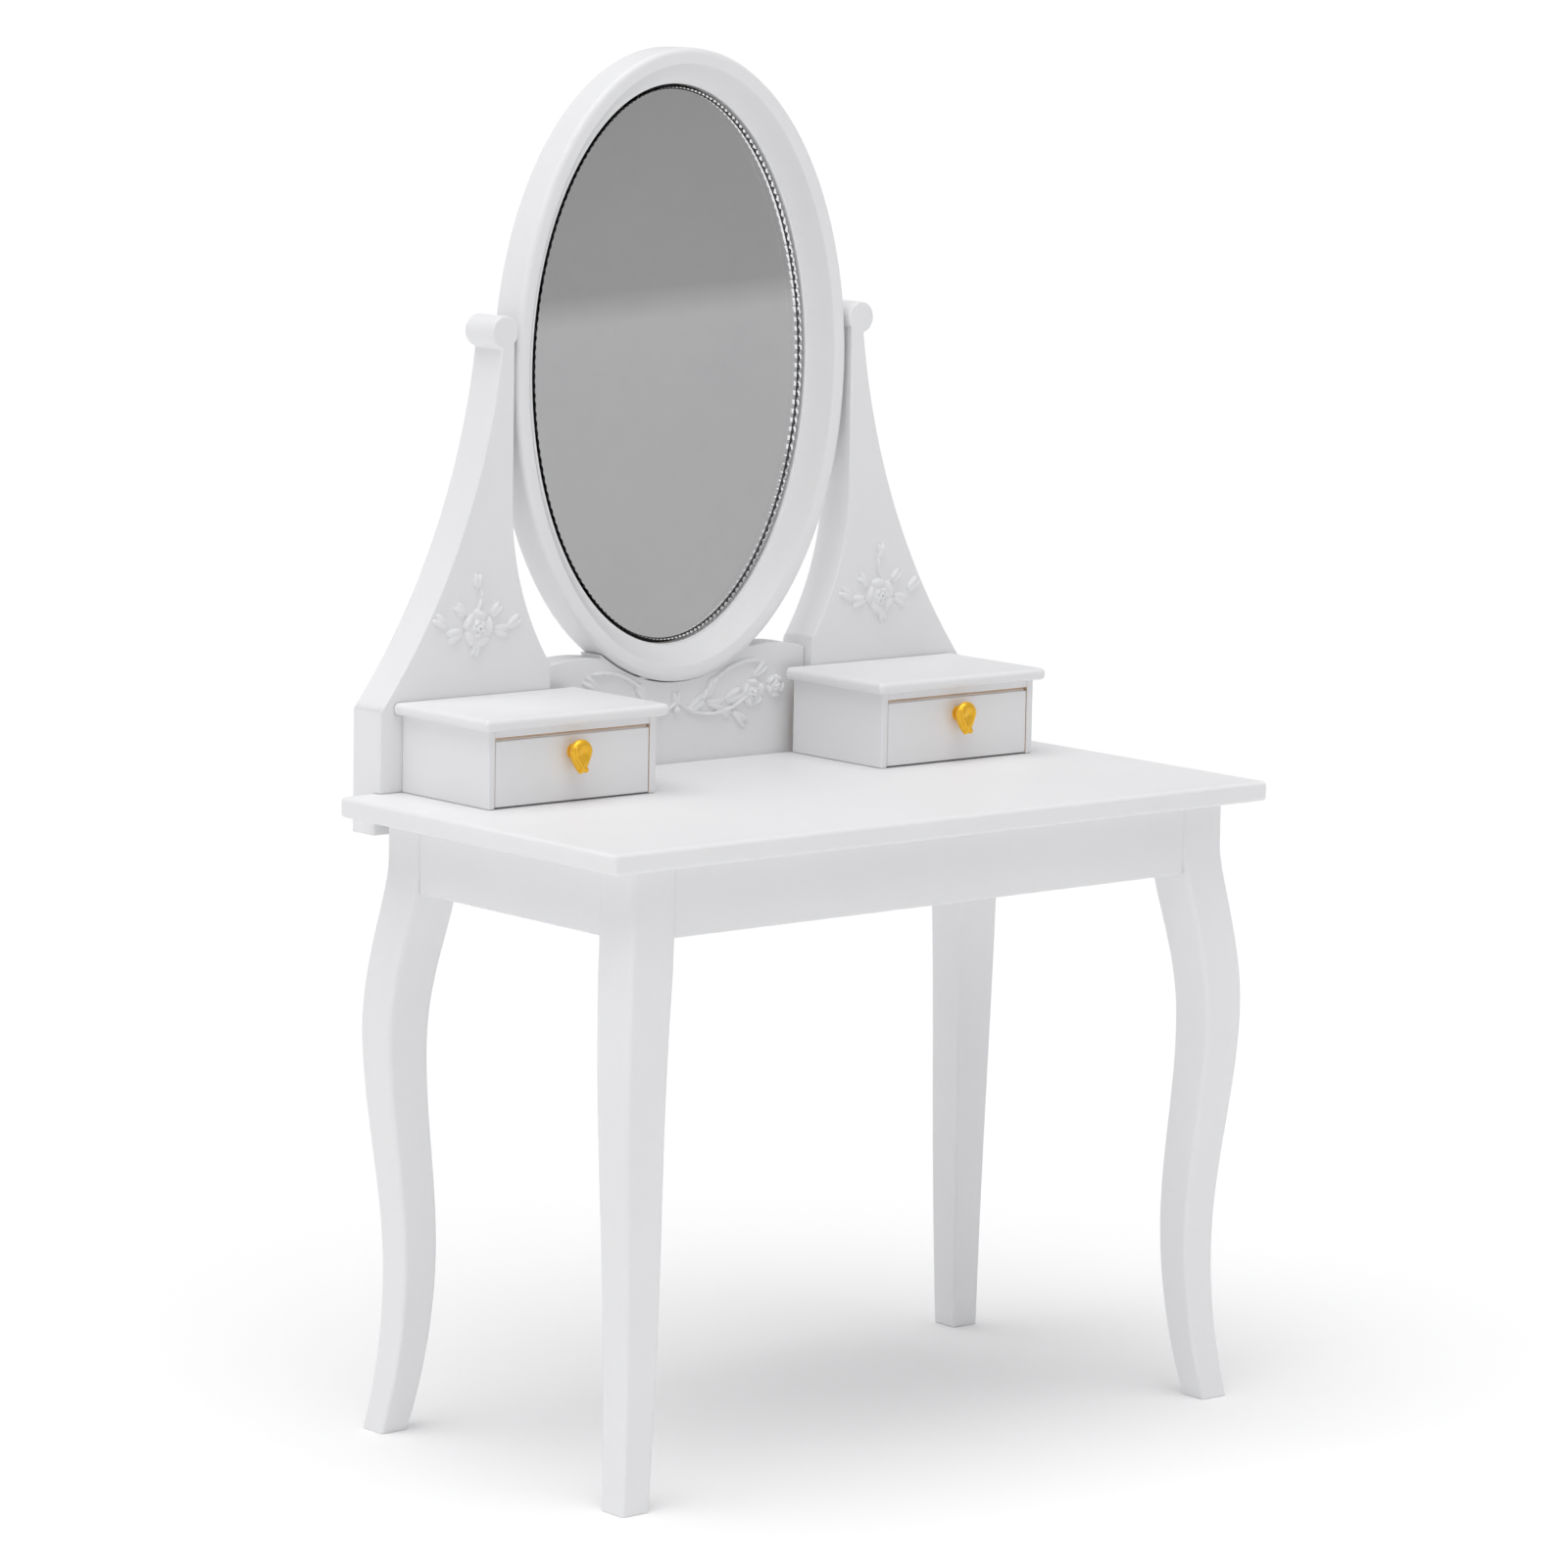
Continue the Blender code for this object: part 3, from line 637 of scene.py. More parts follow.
def ease_between(piece: Object, width: float, segments: int, joints: Sequence[float]) -> None:
    """Round the sharp edges of an upright board, except where it meets its neighbours.

    Args:
        piece: the board.
        width: the width of the rounding, in millimetres.
        segments: how many faces make it.
        joints: X of each joint, whose edges stay sharp.
    """
    with editing(piece, "EDGE"):
        shape = bmesh.from_edit_mesh(piece.data)
        for edge in shape.edges:
            middle = (edge.verts[0].co + edge.verts[1].co) / 2
            at_joint = any(abs(middle.x - joint) < 0.01 for joint in joints)
            edge.select_set(not at_joint and edge.calc_face_angle(0.0) > math.radians(45.0))
        bmesh.update_edit_mesh(piece.data)
        bevel_edges(width, segments, clamp_overlap=True)
    face_outwards(piece)
    polish(piece)


def cut(piece: Object, cutter: Object) -> None:
    """Cut a piece with a cutter, and throw the cutter away."""
    apply(piece, "BOOLEAN", operation="DIFFERENCE", object=cutter, solver="EXACT")
    bpy.data.objects.remove(cutter, do_unlink=True)


def fuse(name: str, shapes: Sequence[Object], grid: float, rounds: int) -> Object:
    """Melt several shapes into one skin, as thick paint does on carving.

    Args:
        name: the new piece's name.
        shapes: the shapes, which overlap each other.
        grid: the fineness of the skin, in millimetres.
        rounds: how often it is smoothed.

    Returns:
        The fused piece.
    """
    bpy.ops.object.select_all(action="DESELECT")
    for shape in shapes:
        shape.select_set(True)
    bpy.context.view_layer.objects.active = shapes[0]
    if len(shapes) > 1:
        bpy.ops.object.join()
    piece = bpy.context.view_layer.objects.active
    piece.name = name
    apply(piece, "REMESH", mode="VOXEL", voxel_size=grid)
    if rounds:
        apply(piece, "SMOOTH", factor=0.5, iterations=rounds)
    return piece


class Wardrobe:
    """The materials that were made already, one for each finish."""

    made: dict[str, Material] = {}

    @classmethod
    def fetch(cls, finish: Finish) -> Material:
        """Give back a finish's material, made on its first use."""
        if finish.name not in cls.made:
            cls.made[finish.name] = finish.material()
        return cls.made[finish.name]


def tint(piece: Object, finish: Finish, wanted: Callable[[Face], bool]) -> None:
    """Give some faces of a dressed piece a second finish.

    Args:
        piece: the piece.
        finish: the second finish.
        wanted: says which faces take it.
    """
    piece.data.materials.append(Wardrobe.fetch(finish))
    last = len(piece.data.materials) - 1
    for face in piece.data.polygons:
        if wanted(face):
            face.material_index = last


def dress(piece: Object, finish: Finish, body: Body, *stands_for: str) -> Object:
    """Seat a finished piece in metres, give it its material and its body, and hide the CAD nodes
    that it replaces.

    Args:
        piece: the piece, in millimetres.
        finish: its finish.
        body: the body that it moves with.
        *stands_for: the CAD nodes that it replaces.

    Returns:
        The piece.
    """
    piece.data.transform(Matrix.Scale(MM, 4))
    piece.data.materials.clear()
    piece.data.materials.append(Wardrobe.fetch(finish))
    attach(piece, body.value)
    if stands_for:
        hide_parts(*stands_for)
    log.info("%s: %d faces, rides %s", piece.name, len(piece.data.polygons), body.value)
    return piece


def box(node: str) -> tuple[Vector, Vector]:
    """The lowest and highest corners of a CAD node, in millimetres."""
    low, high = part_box(node)
    return low / MM, high / MM


def arc(centre: Point, radius: float, start: float, end: float, steps: int) -> list[Point]:
    """Points on an arc.

    Args:
        centre: the arc's middle.
        radius: its radius.
        start: its first angle, in degrees.
        end: its last angle.
        steps: how many chords it has.

    Returns:
        The points, with both ends.
    """
    angles = [math.radians(start + (end - start) * step / steps) for step in range(steps + 1)]
    return [(centre[0] + radius * math.cos(a), centre[1] + radius * math.sin(a)) for a in angles]


def bow(start: Point, end: Point, radius: float, steps: int, hand: int = 1) -> list[Point]:
    """Points on the arc that joins two points.

    Args:
        start: the first point.
        end: the last point.
        radius: the arc's radius.
        steps: how many chords it has.
        hand: 1 if its middle is on the right of the way, and -1 if it is on the left.

    Returns:
        The points, with both ends.
    """
    first, last = Vector(start), Vector(end)
    chord = last - first
    height = math.sqrt(radius**2 - (chord.length / 2) ** 2)
    centre = (first + last) / 2 + Vector((chord.y, -chord.x)).normalized() * height * hand
    angles = [math.degrees(math.atan2(p.y - centre.y, p.x - centre.x)) for p in (first, last)]
    return arc(tuple(centre), radius, angles[0], angles[1], steps)


# ------------------------------------------------------------------ the studio


@dataclass(frozen=True)
class Sun:
    """One broad soft light, so far away that it lights the whole floor alike.

    Attributes:
        name: the light's name.
        place: a point in its direction.
        share: its irradiance on a surface that faces it, where 1 shows white paper as white.
        breadth: the angle that it fills, in degrees.
    """

    name: str
    place: tuple[float, float, float]
    share: float
    breadth: float

    def hang(self) -> None:
        """Hang the light."""
        data = bpy.data.lights.new(self.name, "SUN")
        data.energy = self.share * math.pi
        data.angle = math.radians(self.breadth)
        light = bpy.data.objects.new(self.name, data)
        light.location = self.place
        light.rotation_euler = (-Vector(self.place)).to_track_quat("-Z", "Y").to_euler()
        bpy.context.scene.collection.objects.link(light)


@dataclass
class Studio:
    """The camera, the pale floor, the white surround and the soft lights."""

    place: Sequence[float] = (-0.37687, -0.44372, 0.14942)
    right: Sequence[float] = (0.76928, -0.63871, 0.01635)
    up: Sequence[float] = (0.07480, 0.11544, 0.99051)
    lens: float = 137.77
    shift: Point = (0.0226, -0.0418)
    sensor: float = 36.0
    floor_size: float = 28.0
    floor_tones: Point = (0.965, 0.975)
    floor_roughness: float = 0.9
    surround_share: float = 1.05
    dome_share: float = 0.44
    dome_colour: Colour = (0.98, 0.98, 1.0)
    # The card settings place a glowing card whose tones paint the grey reflection seen in the
    # mirror.
    card_low: Point = (0.12, 0.12)
    card_high: Point = (5.0, 9.0)
    card_turn: float = -112.9
    card_lift: float = 0.0005
    card_reach: Point = (0.2, 2.2)
    painted_reflection_tones: tuple[Point, ...] = ((0.0, 0.452), (0.245, 0.492), (0.285, 0.350), (1.0, 0.312))
    suns: tuple[Sun, ...] = (
        Sun("top_light", (-0.22, -0.05, 1.0), 0.57, 60.0),
        Sun("front_light", (0.1, -1.0, 1.1), 0.05, 50.0),
        Sun("left_light", (-1.0, -0.1, 0.45), 0.05, 60.0),
    )

    def set_camera(self) -> None:
        """Put the camera at the table's left front, a little above its top."""
        data = bpy.data.cameras.new("camera")
        data.lens = self.lens
        data.sensor_width = self.sensor
        data.shift_x, data.shift_y = self.shift
        data.clip_start = 0.01
        data.clip_end = 100.0
        camera = bpy.data.objects.new("camera", data)
        right, up = Vector(self.right), Vector(self.up)
        turned = Matrix((right, up, right.cross(up))).transposed().to_4x4()
        camera.matrix_world = Matrix.Translation(self.place) @ turned
        bpy.context.scene.collection.objects.link(camera)
        bpy.context.scene.camera = camera

    def lay_floor(self) -> None:
        """Lay the plain white floor."""
        add = bpy.ops.mesh.primitive_plane_add
        floor = add_primitive("studio_floor", add, size=self.floor_size)
        sheet = NodeSheet("studio_floor")
        tone = sheet.noise(sheet.place(), 3.0)
        low, high = self.floor_tones
        ramp = sheet.ramp(tone, "Fac", [(0.3, (low,) * 3), (0.7, (high,) * 3)])
        sheet.join(ramp, "Color", sheet.shader, "Base Color")
        sheet.shader.inputs["Roughness"].default_value = self.floor_roughness
        sheet.shader.inputs["Specular IOR Level"].default_value = 0.0
        floor.data.materials.append(sheet.material)

    def lay_painted_reflection_card(self) -> None:
        """Lay a glowing grey card that only the mirror sees, a painted reflection: pale near the
        table and darker far away.

        It lies just above the floor. Its own X runs away from the table, across the line where
        the tone changes.
        """
        card = add_primitive("painted_reflection_card", bpy.ops.mesh.primitive_plane_add, size=1.0)
        low, high = Vector(self.card_low), Vector(self.card_high)
        turn = Matrix.Rotation(math.radians(self.card_turn), 4, "Z")
        for vert in card.data.vertices:
            share = vert.co.xy + Vector((0.5, 0.5))
            across = low.x + (high.x - low.x) * share.x
            along = low.y + (high.y - low.y) * share.y
            vert.co = turn @ Vector((across, along, self.card_lift))
        sheet = NodeSheet("painted_reflection_card")
        away = sheet.add("VectorMath", {"operation": "DOT_PRODUCT"})
        away.inputs[1].default_value = turn @ Vector((1.0, 0.0, 0.0))
        sheet.join(sheet.place(), "Vector", away, 0)
        reach = sheet.add("MapRange", From_Min=self.card_reach[0], From_Max=self.card_reach[1])
        sheet.join(away, "Value", reach, "Value")
        stops = [(place, (tone,) * 3) for place, tone in self.painted_reflection_tones]
        ramp = sheet.ramp(reach, "Result", stops)
        # The card glows with its own tones: a painted reflection, not a lamp.
        glow = sheet.add("Emission")
        sheet.join(ramp, "Color", glow, "Color")
        sheet.join(glow, "Emission", sheet.tree.nodes["Material Output"], "Surface")
        card.data.materials.append(sheet.material)
        card.visible_camera = False
        card.visible_diffuse = False
        card.visible_shadow = False

    def light_surround(self) -> None:
        """Make the surround white to look at, and a soft grey dome for light and reflections."""
        world = bpy.data.worlds.new("surround")
        world.use_nodes = True
        bpy.context.scene.world = world
        tree = world.node_tree
        tree.nodes.clear()
        path = tree.nodes.new("ShaderNodeLightPath")
        seen = tree.nodes.new("ShaderNodeBackground")
        seen.inputs["Strength"].default_value = self.surround_share
        seen.inputs["Color"].default_value = (1.0, 1.0, 1.0, 1.0)
        dome = tree.nodes.new("ShaderNodeBackground")
        dome.inputs["Color"].default_value = (*self.dome_colour, 1.0)
        dome.inputs["Strength"].default_value = self.dome_share
        mix = tree.nodes.new("ShaderNodeMixShader")
        output = tree.nodes.new("ShaderNodeOutputWorld")
        tree.links.new(path.outputs["Is Camera Ray"], mix.inputs["Fac"])
        tree.links.new(dome.outputs["Background"], mix.inputs[1])
        tree.links.new(seen.outputs["Background"], mix.inputs[2])
        tree.links.new(mix.outputs["Shader"], output.inputs["Surface"])

    def build(self) -> None:
        """Set up the whole studio."""
        bpy.context.scene.view_settings.view_transform = "Standard"
        self.set_camera()
        self.lay_floor()
        self.lay_painted_reflection_card()
        self.light_surround()
        for sun in self.suns:
            sun.hang()


# ------------------------------------------------------------------ the table


@dataclass
class EasedBoard:
    """A flat board in the place of a CAD node, with its arrises eased.

    Attributes:
        node: the CAD node that it stands for, which also gives its place.
        finish: its finish.
        body: the body that it moves with.
        arris: the width of its rounded edges, in millimetres.
        grow: how far each side stands out, to close the glue joints.
    """

    node: str
    finish: Finish
    body: Body = Body.ROOT
    arris: float = 0.15
    grow: tuple[float, float, float] = (0.0, 0.0, 0.0)

    def build(self) -> Object:
        """Model and dress the board."""
        low, high = box(self.node)
        spare = Vector(self.grow)
        piece = add_block(f"{self.node}_board", low - spare, high + spare)
        ease(piece, self.arris, 4)
        return dress(piece, self.finish, self.body, self.node)


@dataclass
class CurvedLeg:
    """A square leg that sweeps out along the diagonal: block, knee, ankle and foot."""

    side: Side
    end: End
    block: float = 5.2
    foot: float = 3.2
    side_inset: float = 4.0
    front_inset: float = 2.2
    arris: float = 0.5
    block_drop: float = 4.5
    straight: float = 12.0
    knee: float = 39.0
    knee_sweep: float = 1.95
    ankle: float = 17.0
    ankle_sweep: float = 0.8
    foot_sweep: float = 2.4
    ease_width: float = 0.12
    levels: int = 60

    def sweep(self, z: float, start: float) -> float:
        """How far the leg stands out at a height.

        Args:
            z: the height.
            start: the height at which the sweep begins.

        Returns:
            How far it stands out along X, which is also how far it does along Y.
        """
        if z >= start:
            return 0.0
        if z >= self.knee:
            part = (start - z) / (start - self.knee)
            return self.knee_sweep * math.sin(part * math.pi / 2) ** 1.4
        if z >= self.ankle:
            part = (self.knee - z) / (self.knee - self.ankle)
            share = part * part * (3 - 2 * part)
            return self.knee_sweep + (self.ankle_sweep - self.knee_sweep) * share
        part = (self.ankle - z) / self.ankle
        return self.ankle_sweep + (self.foot_sweep - self.ankle_sweep) * part * part

    def build(self) -> Object:
        """Model and dress the leg."""
        node = f"leg_{self.end.word}_{self.side.word}"
        top_low, top_high = box("table_top")
        x = self.side.value * (top_high.x - self.side_inset - self.block / 2)
        edge = top_low.y if self.end is End.FRONT else top_high.y
        y = edge - self.end.value * (self.front_inset + self.block / 2)
        half = self.block / 2
        leg = add_block(f"{node}_shaped", (-half, -half, 0.0), (half, half, top_low.z))
        self.divide(leg)
        taper_from = top_high.z - self.straight
        for vert in leg.data.vertices:
            z = vert.co.z
            spread = self.sweep(z, top_low.z - self.block_drop)
            share = min(1.0, max(0.0, (taper_from - z) / taper_from))
            scale = 1.0 + (self.foot / self.block - 1.0) * share
            shift = Vector((self.side.value * spread + x, self.end.value * spread + y))
            vert.co = (vert.co.x * scale + shift.x, vert.co.y * scale + shift.y, z)
        ease(leg, self.ease_width, 2, 60.0)
        return dress(leg, PAINT_UPRIGHT, Body.ROOT, node)

    def divide(self, leg: Object) -> None:
        """Round the long arrises of the blank and divide it into levels."""

        def upright(start: Vector, end: Vector) -> bool:
            """Whether an edge runs from floor to top."""
            return abs(start.z - end.z) > 1.0

        with editing(leg, "EDGE"):
            pick_edges(leg, upright)
            bevel_edges(self.arris, 4)
            pick_edges(leg, upright)
            bpy.ops.mesh.subdivide(number_cuts=self.levels)


@dataclass
class Stand:
    """The lower half: top board, aprons and legs."""

    top_arris: float = 0.42
    apron_arris: float = 0.18
    end_grow: float = 0.25
    height_grow: float = 0.1

    def build(self) -> None:
        """Model and dress the top, the four aprons and the four legs."""
        EasedBoard("table_top", PAINT_ACROSS, arris=self.top_arris).build()
        across = (self.end_grow, 0.0, self.height_grow)
        deep = (0.0, self.end_grow, self.height_grow)
        for end in End:
            node = f"apron_{end.word}"
            EasedBoard(node, PAINT_ACROSS, arris=self.apron_arris, grow=across).build()
        for side in Side:
            node = f"apron_{side.word}"
            EasedBoard(node, PAINT_DEEP, arris=self.apron_arris, grow=deep).build()
            for end in End:
                CurvedLeg(side, end).build()


# ------------------------------------------------------------------ wings and centre panel


@dataclass(frozen=True)
class Leaf:
    """One leaf of a carving on the table's right.

    Attributes:
        across: its place along X.
        up: its place along Z.
        long: half its length.
        short: half its width.
        turn: the angle of its length from +X, in degrees.
    """

    across: float
    up: float
    long: float
    short: float
    turn: float


WING_LEAVES = (
    Leaf(-2.9, -0.4, 1.0, 0.62, 190.0),
    Leaf(-4.5, 0.4, 0.95, 0.50, 150.0),
    Leaf(2.8, -0.5, 1.0, 0.62, -15.0),
    Leaf(4.5, 0.9, 0.95, 0.50, 35.0),
    Leaf(-2.2, 1.7, 0.85, 0.50, 140.0),
    Leaf(2.1, 1.9, 0.85, 0.50, 42.0),
    Leaf(0.3, -2.1, 0.80, 0.45, -70.0),
)

PANEL_LEAVES = (
    Leaf(2.6, 5.7, 1.25, 0.55, 32.0),
    Leaf(4.5, 7.3, 1.1, 0.5, 62.0),
    Leaf(5.1, 5.6, 1.2, 0.5, -8.0),
    Leaf(7.5, 6.2, 1.2, 0.6, 20.0),
    Leaf(8.3, 3.9, 1.3, 0.5, -38.0),
    Leaf(10.9, 8.6, 1.1, 0.5, 35.0),
    Leaf(6.4, 4.6, 0.9, 0.42, -30.0),
)


@dataclass
class Carving:
    """Carved relief softened by paint: roses, leaves and scrolls fused into one skin.

    Attributes:
        name: the piece's name.
        face: Y of the board's face that it lies on.
        deck: Z of the table top, from which heights are counted.
        proud: how far it stands out of the board.
        root: how deep it goes into the board.
        grid: the fineness of its skin.
        rounds: how often that skin is smoothed.
    """

    name: str
    face: float
    deck: float
    proud: float = 0.62
    root: float = 0.05
    grid: float = 0.07
    rounds: int = 7

    def __post_init__(self) -> None:
        """Start with no shapes."""
        self.shapes: list[Object] = []

    def lobe(
        self, x: float, z: float, long: float, short: float, turn: float, share: float = 1.0
    ) -> None:
        """Add one rounded lobe.

        Args:
            x: its place across.
            z: its height above the table top.
            long: half its length.
            short: half its width.
            turn: the angle of its length from +X, in degrees.
            share: its height as a share of the carving's.
        """
        radii = (long, self.proud * share, short)
        self.shapes.append(add_ball("lobe", (x, self.face, z + self.deck), radii, turn))

    def ring(self, x: float, z: float, radius: float, wire: float, share: float = 1.0) -> None:
        """Add one rounded ring, such as the rim of a petal.

        Args:
            x: its place across.
            z: its height above the table top.
            radius: the radius of its middle line.
            wire: the radius of its section.
            share: its height as a share of the carving's.
        """
        made = add_primitive(
            "ring",
            bpy.ops.mesh.primitive_torus_add,
            major_segments=28,
            minor_segments=10,
            major_radius=radius,
            minor_radius=wire,
            location=(x, self.face - self.proud * share + wire, z + self.deck),
            rotation=ALONG_Y,
        )
        self.shapes.append(made)

    def rose(self, x: float, z: float, radius: float, start: float = 90.0, petals: int = 5) -> None:
        """Add a rose: a low disc, a ring of cupped petals and a rolled heart.

        Args:
            x: its place across.
            z: its height above the table top.
            radius: its radius.
            start: the angle of its first petal, in degrees.
            petals: how many petals it has.
        """
        self.lobe(x, z, radius * 0.80, radius * 0.80, 0.0, 0.55)
        for petal in range(petals):
            turn = start + 360.0 * petal / petals
            angle = math.radians(turn)
            outer = (x + radius * 0.66 * math.cos(angle), z + radius * 0.66 * math.sin(angle))
            self.lobe(*outer, radius * 0.44, radius * 0.23, turn + 82.0, 0.85)
            inner = (x - radius * 0.30 * math.cos(angle), z - radius * 0.30 * math.sin(angle))
            self.lobe(*inner, radius * 0.24, radius * 0.12, turn + 98.0, 1.02)
        self.ring(x, z, radius * 0.12, radius * 0.07, 1.1)

    def leaf(self, x: float, z: float, long: float, short: float, turn: float) -> None:
        """Add a leaf: two long halves with the vein between them.

        Args:
            x: its place across.
            z: its height above the table top.
            long: half its length.
            short: half its width.
            turn: the angle of its length from +X, in degrees.
        """
        angle = math.radians(turn)
        for hand in (-1, 1):
            offset = hand * short * 0.48
            place = (x - offset * math.sin(angle), z + offset * math.cos(angle))
            self.lobe(*place, long, short * 0.66, turn + hand * 7.0, 0.66)

    def foliage(self, side: Side, leaves: Sequence[Leaf], x: float = 0.0, z: float = 0.0) -> None:
        """Add leaves round a point, mirrored on the left side.

        Args:
            side: the side that they are on.
            leaves: the leaves, as they stand on the right.
            x: the point's place across, on the right.
            z: its height above the table top.
        """
        for leaf in leaves:
            turn = leaf.turn if side is Side.RIGHT else 180.0 - leaf.turn
            self.leaf(side.value * (x + leaf.across), z + leaf.up, leaf.long, leaf.short, turn)

    def scroll(self, places: Sequence[Point], thick: float, thin: float) -> None:
        """Add a stem that follows an arc and thins towards its end.

        Args:
            places: points along it.
            thick: its half width at the start.
            thin: its half width at the end.
        """
        for count, (start, end) in enumerate(zip(places, places[1:])):
            width = thick + (thin - thick) * count / len(places)
            middle = ((start[0] + end[0]) / 2, (start[1] + end[1]) / 2)
            turn = math.degrees(math.atan2(end[1] - start[1], end[0] - start[0]))
            self.lobe(*middle, math.dist(start, end) * 0.8, width, turn, 0.75)

    def build(self, node: str) -> Object:
        """Fuse the shapes, cut them flat at the board and dress the carving."""
        piece = fuse(self.name, self.shapes, self.grid, self.rounds)
        back = (0.0, self.face + self.root, 0.0)
        with editing(piece):
            bpy.ops.mesh.select_all(action="SELECT")
            bpy.ops.mesh.bisect(
                plane_co=back, plane_no=(0.0, 1.0, 0.0), use_fill=True, clear_outer=True
            )
        select_only(piece)
        bpy.ops.object.shade_smooth_by_angle(angle=math.radians(60.0))
        return dress(piece, PAINT_UPRIGHT, Body.ROOT, node)


@dataclass
class Wing:
    """A flared board with a round head, rebated over the back edge of the top."""

    side: Side
    inset: float = 4.0
    shoulder: float = 7.9
    flare: float = 70.0
    neck: float = 1.6
    neck_clearance: float = 0.5
    inner_top: float = 27.0
    head: float = 1.6
    pivot_gap: float = 0.3
    rise: float = 4.2
    half_joint: float = 0.05
    overcut: tuple[float, float] = (2.0, 5.0)
    arris: float = 0.3
    rose: Point = (25.9, 15.4)
    rose_radius: float = 2.1

    def outline(self) -> list[Point]:
        """The outline of the right wing: foot, flare, head, neck and inner curve."""
        frame_low, frame_high = box("mirror_frame")
        top_low, top_high = box("table_top")
        panel_low, panel_high = box("centre_panel")
        half, tall = frame_high.x, (frame_high.z - frame_low.z) / 2
        pivot = (frame_low.z + frame_high.z) / 2 + self.rise
        reach = half * math.sqrt(1 - (self.rise / tall) ** 2)
        head_x = reach + self.pivot_gap + self.head
        neck_in = half + self.neck_clearance
        neck_out = neck_in + self.neck
        outer_join = pivot - math.sqrt(self.head**2 - (neck_out - head_x) ** 2)
        inner_join = pivot - math.sqrt(self.head**2 - (head_x - neck_in) ** 2)
        foot = top_high.x - self.inset
        joint = panel_high.x + self.half_joint
        points = [(joint, panel_low.z), (foot, panel_low.z)]
        points += bow((foot, top_high.z + self.shoulder), (neck_out, outer_join), self.flare, 40)
        start = math.degrees(math.atan2(outer_join - pivot, neck_out - head_x))
        end = math.degrees(math.atan2(inner_join - pivot, neck_in - head_x)) + 360.0
        points += arc((head_x, pivot), self.head, start, end, 40)[1:]
        rise = top_high.z + self.inner_top - panel_high.z
        run = neck_in - joint
        radius = (rise**2 + run**2) / (2 * run)
        centre = (neck_in - radius, top_high.z + self.inner_top)
        return points + arc(centre, radius, 0.0, -math.degrees(math.asin(rise / radius)), 28)

    def build(self) -> None:
        """Model and dress the wing and its carving."""
        node = f"wing_{self.side.word}"
        low, high = box(node)
        top = box("table_top")[1]
        outline = [(self.side.value * x, z) for x, z in self.outline()]
        wing = add_plate(f"{node}_board", outline, low.y, high.y)
        wide, deep = self.overcut
        rebate_low = (-top.x - wide, low.y - deep, low.z - deep)
        cut(wing, add_block("rebate", rebate_low, (top.x + wide, top.y, top.z)))
        face_outwards(wing)
        joint = box("centre_panel")[1].x + self.half_joint
        ease_between(wing, self.arris, 4, [self.side.value * joint])
        dress(wing, PAINT_UPRIGHT, Body.ROOT, node)
        self.carve(low.y, top.z)

    def carve(self, face: float, deck: float) -> None:
        """Carve a rose between two pairs of leaves, with a sprig above it."""
        sign = self.side.value
        spray = Carving(f"spray_{self.side.word}_carving", face, deck)
        x, z = self.rose
        spray.rose(sign * x, z, self.rose_radius, 90.0 + 12.0 * sign)
        spray.foliage(self.side, WING_LEAVES, x, z)
        steps = (0.0, 1.0, 2.0, 2.9)
        stem = [(sign * (x - 0.4 * math.sin(t)), z + 1.9 + 0.95 * t) for t in steps]
        spray.scroll(stem, 0.18, 0.15)
        spray.leaf(sign * (x + 0.1), z + 4.7, 0.75, 0.45, 90.0 + 10.0 * sign)
        spray.build(f"spray_{self.side.word}")


@dataclass
class CentrePanel:
    """The board between the wings, arched at its shoulders and hollowed under the mirror."""

    shoulder: float = 11.1
    arch: float = 0.4
    reach: float = 9.6
    gap: float = 0.12
    corner_rise: float = 0.001
    cradle_steps: int = 48
    arris: float = 0.2

    def build(self) -> None:
        """Model and dress the panel and its carving."""
        low, high = box("centre_panel")
        frame_low, frame_high = box("mirror_frame")
        top = box("table_top")[1]
        width = frame_high.x + self.gap
        tall = (frame_high.z - frame_low.z) / 2 + self.gap
        middle = (frame_low.z + frame_high.z) / 2
        first = -math.acos(self.reach / width)
        corner = middle + tall * math.sin(first)
        # The arch ends as far below the board's height as the cradle's corner stands above it.
        crown = (self.reach, high.z - max(0.0, corner - (high.z - self.corner_rise)))
        foot = (high.x, top.z + self.shoulder - self.arch)
        right = [(high.x, low.z), *bow(foot, crown, high.x, 12, -1)]
        cradle = []
        for step in range(self.cradle_steps + 1):
            angle = first + (-math.pi - 2 * first) * step / self.cradle_steps
            cradle.append((width * math.cos(angle), middle + tall * math.sin(angle)))
        left = [(-x, z) for x, z in reversed(right)]
        panel = add_plate("centre_panel_board", right + cradle + left, low.y, high.y)
        ease_between(panel, self.arris, 3, [low.x, high.x])
        dress(panel, PAINT_ACROSS, Body.ROOT, "centre_panel")
        self.carve(low.y, top.z)

    def carve(self, face: float, deck: float) -> None:
        """Carve two roses a side on a scrolled branch, with leaves along it."""
        spray = Carving("spray_centre_carving", face, deck)
        for side in Side:
            sign = side.value
            spray.rose(sign * 10.0, 6.35, 1.65, 90.0)
            spray.rose(sign * 12.9, 6.85, 1.35, 60.0)
            spray.foliage(side, PANEL_LEAVES)
            crest = arc((9.6, 2.4), 7.3, 148.0, 82.0, 9)
            spray.scroll([(sign * across, up) for across, up in crest], 0.34, 0.22)
            branch = arc((4.6, 12.0), 7.4, 232.0, 312.0, 8)
            spray.scroll([(sign * across, up) for across, up in branch], 0.22, 0.26)
        spray.leaf(0.0, 6.4, 0.85, 0.5, 90.0)
        spray.lobe(0.0, 5.3, 0.5, 0.4, 0.0, 1.0)
        spray.build("spray_centre")


# ------------------------------------------------------------------ the mirror


